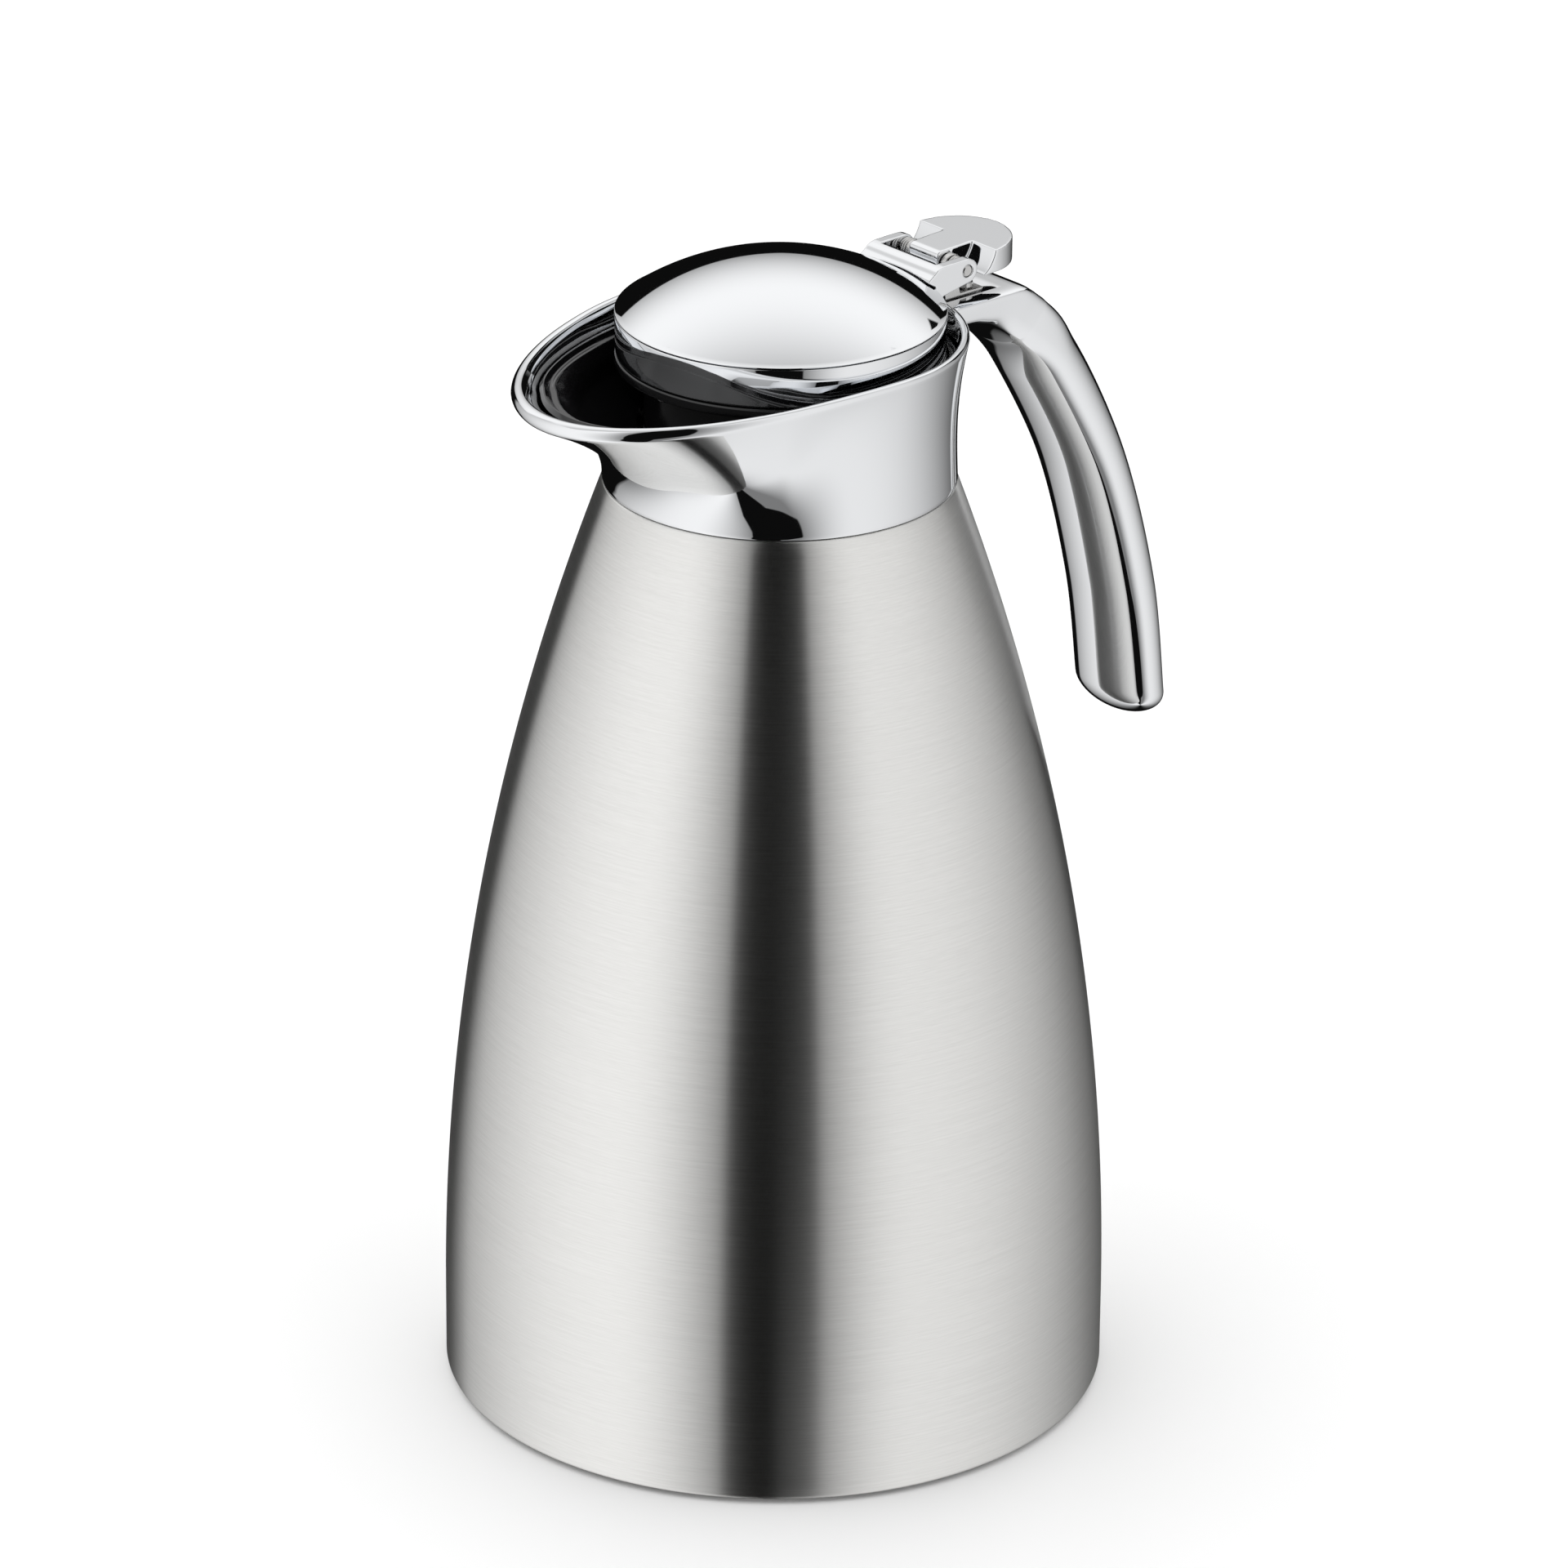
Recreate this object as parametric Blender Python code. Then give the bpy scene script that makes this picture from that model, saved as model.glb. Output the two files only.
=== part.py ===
"""One-litre vacuum coffee pot with a hinged lid, a thumb lever and a chrome bar handle.

All sizes below are millimetres. The helpers turn them into Blender's metres.
The origin is on the body's axis at table height, +Z is up, the handle points to +X
and the spout to -X. The lid and the thumb lever both turn about the hinge pin.
"""
import math

import bmesh
import bpy
from mathutils import Vector

MM = 0.001
SEGMENTS = 36          # sides of every large round piece
SMALL_SEGMENTS = 16    # sides of screws and pins
GAP = 0.3              # clearance between neighbouring pieces

# Steel body: a cylinder at the foot that narrows in one curve to the neck.
BASE_RADIUS = 67.6
NECK_RADIUS = 35.3
CURVE_START = 15.0
NECK_HEIGHT = 194.3
CURVE_POWER = 2.05
SHELL_WALL = 0.8
SHELL_FOOT = 0.8       # height of the shell's lower edge above the table

# Base and flask
PAD_RADIUS = 58.5
PAD_HEIGHT = 1.5
CAP_RADIUS = 59.7
CAP_BOTTOM = PAD_HEIGHT + GAP
CAP_TOP = 4.4
GLASS = 1.2
OUTER_GLASS_INSET = 3.0
INNER_GLASS_INSET = 8.3
OUTER_GLASS_BOTTOM = 14.0
BOTTOM_ROUND = 14.0      # height of the flask's rounded bottom
INNER_GLASS_BOTTOM = 19.0
MOUTH_HEIGHT = 197.0
MOUTH_RADIUS = 26.2

# Chrome collar with its spout
COLLAR_BOTTOM = NECK_HEIGHT + GAP
COLLAR_WALL = 1.2
COLLAR_WAIST = 0.4     # how far the wall draws in between seam and rim
REAR_RIM_RADIUS = 37.2
SPOUT_REACH = 60.4
REAR_RIM_HEIGHT = 224.0
SPOUT_DROP = 5.4
SPOUT_DROP_POWER = 1.7
REAR_FLARE_POWER = 2.7
CONE_FOOT = 0.45         # rise at which the flanks of the spout turn straight
CONE_FOOT_GROWTH = 3.2
CONE_SHARE = 0.44
REAR_LIP = 1.8
SPOUT_LIP = 3.4
LINER_WALL = 1.6
LINER_LEDGE = 1.0        # step inside the liner along the spout
THROAT_RADIUS = 24.5
SEAT_HEIGHT = 203.4
SEAT_RADIUS = 27.8
LINER_BOTTOM = 199.6

# Hinge
PIN_X = 40.0
PIN_Z = 230.9
PIN_RADIUS = 1.2
PIN_HOLE = 1.45
EAR_INNER = 8.2
EAR_OUTER = 10.5
EAR_RADIUS = 2.5
LUG_INNER = 4.6
LUG_OUTER = 5.9
LUG_RADIUS = 2.3
NECK_HALF_WIDTH = 4.3
PADDLE_SLOPE = 0.045     # rise of the paddle's top per length

# Lid
LID_RADIUS = 32.8
BAND_BOTTOM = 221.1
BAND_TOP = 229.0
BAND_WALL = 1.2
DOME_EDGE = BAND_TOP + GAP
DOME_APEX = 239.9
DOME_WALL = 0.9
FLANGE_BOTTOM = 218.7
FLANGE_TOP = BAND_BOTTOM - GAP
STOPPER_RADIUS = 27.0
STOPPER_SHOULDER = 205.3
PLUG_TOP_RADIUS = 22.0
PLUG_TIP_RADIUS = 17.0
PLUG_BOTTOM = 192.0

# Handle
ARM_TOP = 223.7
ARM_START = 34.5
ARM_HALF_WIDTH = 10.5
BAR_HALF_WIDTH = 11.4
ARM_POWER = 9.0          # boxiness of the arm's top
ARM_LOW_POWER = 2.6
BAR_POWER = 2.2          # roundness of the bar
POCKET_FLOOR = 222.2
POCKET_END = 52.0
POCKET_HALF_WIDTH = 6.6
HANDLE_SCREW_Y = 6.5
HANDLE_SCREW_Z = 220.2
BLOCK_SCREW_X = 45.4
BLOCK_SCREW_Y = 3.2


# ---------------------------------------------------------------- materials

def material(name, colour, roughness, metallic):
    """A Principled material, made once and shared by the pieces that use it."""
    found = bpy.data.materials.get(name)
    if found:
        return found
    made = bpy.data.materials.new(name)
    made.use_nodes = True
    shader = made.node_tree.nodes["Principled BSDF"]
    shader.inputs["Base Color"].default_value = (*colour, 1.0)
    shader.inputs["Roughness"].default_value = roughness
    shader.inputs["Metallic"].default_value = metallic
    made.diffuse_color = (*colour, 1.0)
    return made


def brushed_steel():
    return material("brushed_steel", (0.62, 0.61, 0.60), 0.34, 1.0)


def chrome():
    return material("chrome", (0.86, 0.87, 0.88), 0.05, 1.0)


def bright_steel():
    return material("bright_steel", (0.70, 0.70, 0.70), 0.22, 1.0)


def black_plastic():
    return material("black_plastic", (0.012, 0.012, 0.013), 0.12, 0.0)


def silicone():
    return material("silicone", (0.05, 0.05, 0.05), 0.55, 0.0)


def silvered_glass():
    return material("silvered_glass", (0.75, 0.76, 0.78), 0.06, 0.9)


def foam():
    return material("foam", (0.85, 0.84, 0.80), 0.9, 0.0)


# ---------------------------------------------------------------- mesh helpers

def add_object(name, bm, surface, smooth_angle=35.0):
    """Turn a bmesh into a named object with outward normals and smooth round faces."""
    bmesh.ops.recalc_face_normals(bm, faces=bm.faces)
    mesh = bpy.data.meshes.new(name)
    bm.to_mesh(mesh)
    bm.free()
    mesh.shade_smooth()
    mesh.set_sharp_from_angle(angle=math.radians(smooth_angle))
    made = bpy.data.objects.new(name, mesh)
    bpy.context.scene.collection.objects.link(made)
    if surface:
        mesh.materials.append(surface)
    return made


def turned(name, profile, surface, ring=False, segments=SEGMENTS):
    """Spin (radius, height) points about Z; a ring's last point joins its first."""
    bm = bmesh.new()
    verts = [bm.verts.new((radius * MM, 0.0, height * MM)) for radius, height in profile]
    edges = [bm.edges.new(pair) for pair in zip(verts, verts[1:])]
    if ring:
        edges.append(bm.edges.new((verts[-1], verts[0])))
    bmesh.ops.spin(bm, geom=verts + edges, cent=(0, 0, 0), axis=(0, 0, 1),
                   angle=math.tau, steps=segments, use_merge=True)
    bmesh.ops.remove_doubles(bm, verts=bm.verts, dist=1e-6)
    return add_object(name, bm, surface)


def skinned(name, loops, surface, ring=False):
    """Skin loops of equally many points; open ends are capped, a ring's ends are joined."""
    bm = bmesh.new()
    rows = [[bm.verts.new(Vector(point) * MM) for point in loop] for loop in loops]
    pairs = list(zip(rows, rows[1:]))
    if ring:
        pairs.append((rows[-1], rows[0]))
    for row, following in pairs:
        for index in range(len(row)):
            after = (index + 1) % len(row)
            bm.faces.new((row[index], row[after], following[after], following[index]))
    if not ring:
        bm.faces.new(rows[0])
        bm.faces.new(rows[-1])
    return add_object(name, bm, surface)


def extruded(name, outline, low, high, surface, axis="Y"):
    """Extrude a flat outline from low to high: (x, z) points along Y, (x, y) along Z."""
    bm = bmesh.new()

    def place(point, depth):
        first, second = point
        return (first * MM, depth * MM, second * MM) if axis == "Y" else (
            first * MM, second * MM, depth * MM)

    face = bm.faces.new([bm.verts.new(place(point, low)) for point in outline])
    moved = bmesh.ops.extrude_face_region(bm, geom=[face])
    step = Vector(place((0.0, 0.0), high - low))
    bmesh.ops.translate(bm, vec=step, verts=[v for v in moved["geom"] if isinstance(v, bmesh.types.BMVert)])
    return add_object(name, bm, surface)


def rod(name, start, direction, stations, surface, segments=SMALL_SEGMENTS):
    """A turned rod along a direction; stations are (distance from start, radius)."""
    profile = [(0.0, stations[0][0])]
    profile += [(radius, distance) for distance, radius in stations]
    profile += [(0.0, stations[-1][0])]
    made = turned(name, profile, surface, segments=segments)
    turn = Vector((0, 0, 1)).rotation_difference(Vector(direction))
    made.data.transform(turn.to_matrix().to_4x4())
    made.location = Vector(start) * MM
    return made


def box(name, low, high):
    """An axis-aligned box between two corners, used as a cutter."""
    outline = [(low[0], low[2]), (high[0], low[2]), (high[0], high[2]), (low[0], high[2])]
    return extruded(name, outline, low[1], high[1], None)


def cutter(made):
    """Mark an object as a guide that only serves other pieces' Booleans."""
    made.hide_render = True
    made.display_type = "WIRE"
    return made


def combine(target, other, operation="DIFFERENCE"):
    """Cut the target with another object, or join that object to it."""
    modifier = target.modifiers.new(f"{operation.lower()}_{other.name}", "BOOLEAN")
    modifier.operation = operation
    modifier.solver = "EXACT"
    modifier.object = cutter(other)


def arc(centre, radius, start, end, steps):
    """Points on an arc, with angles in degrees from the first axis."""
    angles = [math.radians(start + (end - start) * step / steps) for step in range(steps + 1)]
    return [(centre[0] + radius * math.cos(a), centre[1] + radius * math.sin(a)) for a in angles]


def smooth_step(value):
    value = min(1.0, max(0.0, value))
    return value * value * (3.0 - 2.0 * value)


def catmull_rom(points, steps):
    """A smooth curve through the given points, as tuples of the same length."""
    padded = [points[0]] + list(points) + [points[-1]]
    curve = []
    for index in range(len(points) - 1):
        before, start, end, after = padded[index:index + 4]
        for step in range(steps):
            t = step / steps
            curve.append(tuple(
                0.5 * (2 * b + (c - a) * t + (2 * a - 5 * b + 4 * c - d) * t * t
                       + (3 * b - a - 3 * c + d) * t ** 3)
                for a, b, c, d in zip(before, start, end, after)))
    curve.append(tuple(points[-1]))
    return curve


def hinge_empty(name):
    """An empty on the hinge pin's axis, which the moving pieces hang from."""
    made = bpy.data.objects.new(name, None)
    made.location = (PIN_X * MM, 0.0, PIN_Z * MM)
    bpy.context.scene.collection.objects.link(made)
    return made


def hang(made, parent):
    """Parent a piece to a hinge empty and keep it where it is."""
    made.parent = parent
    made.location = made.location - parent.location


# ---------------------------------------------------------------- body and base

def body_radius(height):
    """Outer radius of the steel body at a height."""
    along = max(0.0, height - CURVE_START) / (NECK_HEIGHT - CURVE_START)
    return BASE_RADIUS - (BASE_RADIUS - NECK_RADIUS) * along ** CURVE_POWER


def heights(low, high, steps):
    return [low + (high - low) * step / steps for step in range(steps + 1)]


def make_body_shell():
    rise = heights(SHELL_FOOT + 1.0, NECK_HEIGHT, 11)
    outside = [(body_radius(z), z) for z in rise]
    inside = [(body_radius(z) - SHELL_WALL, z) for z in reversed(rise)]
    foot = [(BASE_RADIUS - SHELL_WALL, SHELL_FOOT), (BASE_RADIUS - 0.4, SHELL_FOOT)]
    turned("body_shell", outside + inside + foot, brushed_steel(), ring=True)


def make_base():
    ring_outer = BASE_RADIUS - SHELL_WALL - GAP
    ring_inner = CAP_RADIUS + GAP
    turned("shell_base_ring", [
        (ring_outer, 1.6), (ring_outer, 12.0), (ring_outer - 1.2, 12.0),
        (ring_outer - 1.2, 3.2), (ring_inner, 3.2), (ring_inner, 1.6)],
        bright_steel(), ring=True)
    wall = CAP_RADIUS - 2.5
    turned("base_cap", [
        (0.0, CAP_BOTTOM), (CAP_RADIUS, CAP_BOTTOM), (CAP_RADIUS, 12.0), (wall, 12.0),
        (wall, CAP_TOP), (22.0, CAP_TOP), (22.0, 10.0), (19.5, 10.0), (19.5, CAP_TOP),
        (0.0, CAP_TOP)], black_plastic())
    turned("base_foot_pad", [
        (0.0, 0.0), (PAD_RADIUS - 0.5, 0.0), (PAD_RADIUS, 0.5), (PAD_RADIUS, PAD_HEIGHT),
        (0.0, PAD_HEIGHT)], silicone())


# ---------------------------------------------------------------- flask

def flask_radius(height, inset, bottom):
    """Radius of a flask wall, which follows the body and closes round at its bottom."""
    rise = min(1.0, (height - bottom) / BOTTOM_ROUND)
    return (body_radius(height) - inset) * (1.0 - (1.0 - rise) ** 3) ** (1.0 / 3.0)


def flask_wall(inset, bottom, top):
    """Profile from the axis at the bottom up to the start of the mouth."""
    low = [bottom + BOTTOM_ROUND * (step / 4) ** 2 for step in range(4)]
    high = heights(bottom + BOTTOM_ROUND, top, 6)
    return [(flask_radius(z, inset, bottom), z) for z in low + high]


def make_flask():
    lip_inner = MOUTH_RADIUS + GLASS + 0.4
    lip = [(lip_inner + 1.0, MOUTH_HEIGHT - 1.0), (lip_inner, MOUTH_HEIGHT - 1.0)]
    outer_top = 192.0
    outside = flask_wall(OUTER_GLASS_INSET, OUTER_GLASS_BOTTOM, outer_top)
    inside = flask_wall(OUTER_GLASS_INSET + GLASS, OUTER_GLASS_BOTTOM + GLASS, outer_top - 0.6)
    turned("flask_outer_wall", outside + lip + inside[::-1], silvered_glass())
    inner_top = 189.0
    outside = flask_wall(INNER_GLASS_INSET, INNER_GLASS_BOTTOM, inner_top)
    inside = flask_wall(INNER_GLASS_INSET + GLASS, INNER_GLASS_BOTTOM + GLASS, inner_top)
    mouth = [(MOUTH_RADIUS + GLASS, MOUTH_HEIGHT - 2.0), (MOUTH_RADIUS + GLASS, MOUTH_HEIGHT),
             (MOUTH_RADIUS, MOUTH_HEIGHT), (MOUTH_RADIUS, MOUTH_HEIGHT - 2.0)]
    turned("flask_inner_wall", outside + mouth + inside[::-1], silvered_glass())
    turned("base_cushion", [
        (0.0, CAP_TOP + GAP), (19.0, CAP_TOP + GAP), (19.0, 9.0),
        (16.0, OUTER_GLASS_BOTTOM - 0.4), (0.0, OUTER_GLASS_BOTTOM - 0.4)], silicone())
    turned("mouth_seal", [
        (MOUTH_RADIUS - 0.4, MOUTH_HEIGHT + GAP), (30.5, MOUTH_HEIGHT + GAP),
        (30.5, LINER_BOTTOM - GAP), (MOUTH_RADIUS - 0.4, LINER_BOTTOM - GAP)], silicone(), ring=True)


def make_flask_spacers():
    """Three pads that keep the two flask walls apart."""
    height = 100.0
    outer = body_radius(height) - OUTER_GLASS_INSET - GLASS
    inner = body_radius(height) - INNER_GLASS_INSET
    middle = (outer + inner) / 2
    thick = 2.0
    for index in range(3):
        turn = math.radians(90 + 120 * index)
        outward = Vector((math.cos(turn), math.sin(turn), 0.0))
        start = outward * (middle - thick / 2) + Vector((0, 0, height))
        rod(f"flask_spacer_{index + 1}", start, outward, [(0.0, 4.0), (thick, 4.0)], foam(), segments=12)


# ---------------------------------------------------------------- collar and liner

def rim_radius(angle):
    """Plan outline of the collar's rim: round behind, half an ellipse towards the spout."""
    along, across = math.cos(angle), math.sin(angle)
    if along >= 0.0:
        return REAR_RIM_RADIUS
    return 1.0 / math.hypot(along / SPOUT_REACH, across / REAR_RIM_RADIUS)


def spout_share(angle):
    """0 behind and at the sides, 1 at the spout's tip."""
    return (rim_radius(angle) - REAR_RIM_RADIUS) / (SPOUT_REACH - REAR_RIM_RADIUS)


def rim_height(angle):
    reach = max(0.0, -rim_radius(angle) * math.cos(angle)) / SPOUT_REACH
    return REAR_RIM_HEIGHT - SPOUT_DROP * reach ** SPOUT_DROP_POWER


def flare(rise, share):
    """Share of the rim's overhang at a rise: a late curl behind, a cone with a curved foot at the spout."""
    rise = max(0.0, rise)
    foot = min(1.0, CONE_FOOT + CONE_FOOT_GROWTH * (share - CONE_SHARE) ** 2)
    curved = min(rise, foot)
    cone = (curved * curved / (2 * foot) + rise - curved) / (1.0 - foot / 2)
    blend = smooth_step(share / 0.25)
    return (1.0 - blend) * rise ** REAR_FLARE_POWER + blend * cone


def collar_outside(angle, rise):
    """(radius, height) on the collar's outer face, rise 0 at the seam and 1 at the rim."""
    share = spout_share(angle)
    radius = NECK_RADIUS - COLLAR_WAIST * (1.0 - share) * math.sin(math.pi * rise)
    radius += (rim_radius(angle) - NECK_RADIUS) * flare(rise, share)
    return Vector((radius, COLLAR_BOTTOM + (rim_height(angle) - COLLAR_BOTTOM) * rise))


def collar_frame(angle, rise):
    """Point, outward normal and upward tangent of the collar's outer profile."""
    step = 0.005
    tangent = collar_outside(angle, rise + step) - collar_outside(angle, rise - step)
    tangent.normalize()
    return collar_outside(angle, rise), Vector((tangent.y, -tangent.x)), tangent


def lip_thickness(angle):
    return REAR_LIP + (SPOUT_LIP - REAR_LIP) * spout_share(angle)


def collar_depth(angle, rise):
    """Wall thickness, which grows towards the rounded lip."""
    return COLLAR_WALL + (lip_thickness(angle) - COLLAR_WALL) * smooth_step((rise - 0.8) / 0.2)


def inward(angle, rise, depth):
    """The (radius, height) point that lies a depth inside the collar's outer face."""
    point, normal, _ = collar_frame(angle, rise)
    return point - normal * depth


def loop(point_at):
    """One closed loop round the axis from a function of the angle that gives (radius, height)."""
    points = []
    for index in range(SEGMENTS):
        angle = math.tau * index / SEGMENTS
        radius, height = point_at(angle)
        points.append((radius * math.cos(angle), radius * math.sin(angle), height))
    return points


def lip_point(angle, turn):
    """A point on the lip's round edge, turn 0 outside and 180 inside."""
    point, normal, tangent = collar_frame(angle, 1.0)
    half = lip_thickness(angle) / 2
    around = math.radians(turn)
    return point - normal * half + (normal * math.cos(around) + tangent * math.sin(around)) * half


def collar_envelope(name, offset):
    """The collar's outer shape as a solid plug, grown by an offset."""
    rises = (-0.3, 0.0, 0.3, 0.6, 0.8, 0.9, 1.0, 1.15)
    loops = [loop(lambda a, r=r: inward(a, r, -offset)) for r in rises]
    return skinned(name, loops, None)


def make_spout_collar():
    rises = (0.0, 0.3, 0.55, 0.7, 0.8, 0.88, 0.94, 1.0)
    outside = [loop(lambda a, r=r: collar_outside(a, r)) for r in rises]
    lip = [loop(lambda a, t=t: lip_point(a, t)) for t in (45, 90, 135)]
    inside = [loop(lambda a, r=r: inward(a, r, collar_depth(a, r))) for r in reversed(rises)]
    collar = skinned("spout_collar", outside + lip + inside, chrome(), ring=True)
    for side, y in (("left", HANDLE_SCREW_Y), ("right", -HANDLE_SCREW_Y)):
        hole = rod(f"cut_collar_screw_{side}", (31.0, y, HANDLE_SCREW_Z), (1, 0, 0),
                   [(0.0, 2.5), (3.4, 2.5), (4.8, 1.5), (9.0, 1.5)], None)
        combine(collar, hole)


def liner_top(angle):
    """Rise at which the liner's upper edge lies."""
    return 0.86 + 0.05 * spout_share(angle)


def liner_point(angle, share, depth):
    """A liner point at a share of the way from the funnel's top to the liner's edge."""
    funnel_rise = 0.58
    rise = funnel_rise + (liner_top(angle) - funnel_rise) * share
    return inward(angle, rise, collar_depth(angle, rise) + GAP + depth)


def liner_depth(angle, share):
    """Wall thickness of the liner, with a ledge along the spout."""
    ledge = LINER_LEDGE * smooth_step(spout_share(angle) / 0.3)
    return LINER_WALL + ledge * smooth_step((0.86 - share) / 0.08) * smooth_step(share / 0.5)


def make_collar_liner():
    """Black liner: a funnel with the stopper's seat, and a wall that follows the collar."""
    shares = (0.0, 0.35, 0.78, 0.86, 1.0)
    outside = [loop(lambda a, s=s: liner_point(a, s, 0.1)) for s in shares]
    inside = [loop(lambda a, s=s: liner_point(a, s, liner_depth(a, s))) for s in reversed(shares)]
    wall = 1.7
    funnel_height = SEAT_HEIGHT + 3.0
    flange_radius = 33.2
    funnel_inside = [(SEAT_RADIUS + 0.6, funnel_height), (SEAT_RADIUS, SEAT_HEIGHT),
                     (THROAT_RADIUS, SEAT_HEIGHT), (THROAT_RADIUS, LINER_BOTTOM)]
    funnel_outside = [(flange_radius, LINER_BOTTOM), (flange_radius, LINER_BOTTOM + wall),
                      (SEAT_RADIUS + wall, LINER_BOTTOM + wall), (SEAT_RADIUS + wall + 0.8, funnel_height)]
    lower = [loop(lambda a, p=p: p) for p in funnel_inside + funnel_outside]
    skinned("collar_liner", outside + inside + lower, black_plastic(), ring=True)


# ---------------------------------------------------------------- handle

def handle_sides():
    """Outer and inner outlines of the handle in the XZ plane, from the collar to its free end."""
    outer_arm = [(ARM_START, ARM_TOP), (45.0, ARM_TOP), (54.4, ARM_TOP)]
    crest = [(57.0, 223.3), (59.2, 221.9)]
    outer_bar = catmull_rom([(62.0, 219.8), (73.7, 208.4), (87.6, 182.0), (97.1, 151.0), (100.7, 124.3)], 5)
    inner_arm = [(ARM_START, 218.1), (42.0, 217.6), (46.5, 216.2)]
    inner_crest = [(50.0, 214.0), (51.6, 212.6)]
    inner_bar = catmull_rom([(53.8, 210.8), (61.6, 200.9), (75.2, 176.3), (83.6, 148.6), (87.2, 125.8)], 5)
    return outer_arm + crest + outer_bar, inner_arm + inner_crest + inner_bar


def handle_section(outer, inner, half_width, powers, scale=1.0, points=20):
    """A rounded section between an outer and an inner point, boxy where the powers are high."""
    outer, inner = Vector((outer[0], 0, outer[1])), Vector((inner[0], 0, inner[1]))
    centre, reach = (outer + inner) / 2, (outer - inner) / 2
    section = []
    for index in range(points):
        angle = math.tau * (index + 0.5) / points
        across, along = math.cos(angle), math.sin(angle)
        power = powers[0] if along > 0 else powers[1]
        y = half_width * math.copysign(abs(across) ** (2 / power), across) * scale
        share = math.copysign(abs(along) ** (2 / power), along) * scale
        section.append(centre + reach * share + Vector((0, y, 0)))
    return section


def make_handle():
    outer, inner = handle_sides()
    sections = []
    for index, (out, inn) in enumerate(zip(outer, inner)):
        blend = smooth_step((index - 2) / 8)
        half_width = ARM_HALF_WIDTH + (BAR_HALF_WIDTH - ARM_HALF_WIDTH) * blend
        powers = [power + (BAR_POWER - power) * blend for power in (ARM_POWER, ARM_LOW_POWER)]
        sections.append(handle_section(out, inn, half_width, powers))
    last, before = outer[-1], outer[-2]
    down = Vector((last[0] - before[0], 0, last[1] - before[1])).normalized()
    for drop, scale in ((2.7, 0.91), (4.6, 0.71), (5.7, 0.47), (6.3, 0.24)):
        end = handle_section(outer[-1], inner[-1], BAR_HALF_WIDTH, (BAR_POWER, BAR_POWER), scale)
        sections.append([point + down * drop for point in end])
    handle = skinned("handle", sections, chrome())
    combine(handle, collar_envelope("cut_handle_collar", GAP))
    pocket = extruded("cut_handle_pocket", [
        (ARM_START - 1.0, POCKET_FLOOR), (46.5, POCKET_FLOOR), (POCKET_END, ARM_TOP + 0.2),
        (POCKET_END, ARM_TOP + 3.0), (ARM_START - 1.0, ARM_TOP + 3.0)],
        -POCKET_HALF_WIDTH, POCKET_HALF_WIDTH, None)
    combine(handle, pocket)
    for side, sign in (("left", 1), ("right", -1)):
        side_hole = rod(f"cut_handle_screw_{side}", (33.0, sign * HANDLE_SCREW_Y, HANDLE_SCREW_Z),
                        (1, 0, 0), [(0.0, 1.5), (11.4, 1.5)], None)
        combine(handle, side_hole)
        block_hole = rod(f"cut_block_screw_{side}", (BLOCK_SCREW_X, sign * BLOCK_SCREW_Y, 218.4),
                         (0, 0, 1), [(0.0, 1.3), (8.0, 1.3)], None)
        combine(handle, block_hole)


def make_handle_screws():
    """Countersunk screws that hold the handle to the collar from inside."""
    for side, sign in (("left", 1), ("right", -1)):
        rod(f"handle_screw_{side}", (34.4, sign * HANDLE_SCREW_Y, HANDLE_SCREW_Z), (1, 0, 0),
            [(0.0, 2.1), (0.2, 2.1), (1.2, 1.2), (9.7, 1.2)], bright_steel())


# ---------------------------------------------------------------- hinge

def pin_hole(name, radius=PIN_HOLE):
    return rod(name, (PIN_X, -20.0, PIN_Z), (0, 1, 0), [(0.0, radius), (40.0, radius)], None)


def make_hinge_block():
    """Foot in the handle's pocket with two lugs that carry the pin."""
    foot_bottom = POCKET_FLOOR + GAP
    foot_top = 224.4
    screw_bottom = 218.8
    grip = foot_top + GAP - screw_bottom
    outline = [(38.3, foot_bottom), (47.0, foot_bottom), (48.4, foot_top), (42.2, foot_top)]
    outline += arc((PIN_X, PIN_Z), LUG_RADIUS, -60, 180, 10)
    block = extruded("hinge_block", outline, -LUG_OUTER, LUG_OUTER, bright_steel())
    combine(block, box("cut_block_slot", (30.0, -LUG_INNER, foot_top), (60.0, LUG_INNER, 240.0)))
    combine(block, pin_hole("cut_block_pin"))
    for side, sign in (("left", 1), ("right", -1)):
        x, y = BLOCK_SCREW_X, sign * BLOCK_SCREW_Y
        bore = rod(f"cut_block_bore_{side}", (x, y, 220.0), (0, 0, 1), [(0.0, 1.3), (8.0, 1.3)], None)
        combine(block, bore)
        rod(f"hinge_block_screw_{side}", (x, y, screw_bottom), (0, 0, 1),
            [(0.0, 1.0), (grip, 1.0), (grip, 1.9), (grip + 0.8, 1.9), (grip + 1.2, 1.4)], bright_steel())


def make_hinge_pin():
    length = 2 * (EAR_OUTER - 0.1)
    rod("hinge_pin", (PIN_X, -length / 2, PIN_Z), (0, 1, 0), [(0.0, PIN_RADIUS), (length, PIN_RADIUS)],
        bright_steel())


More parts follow.
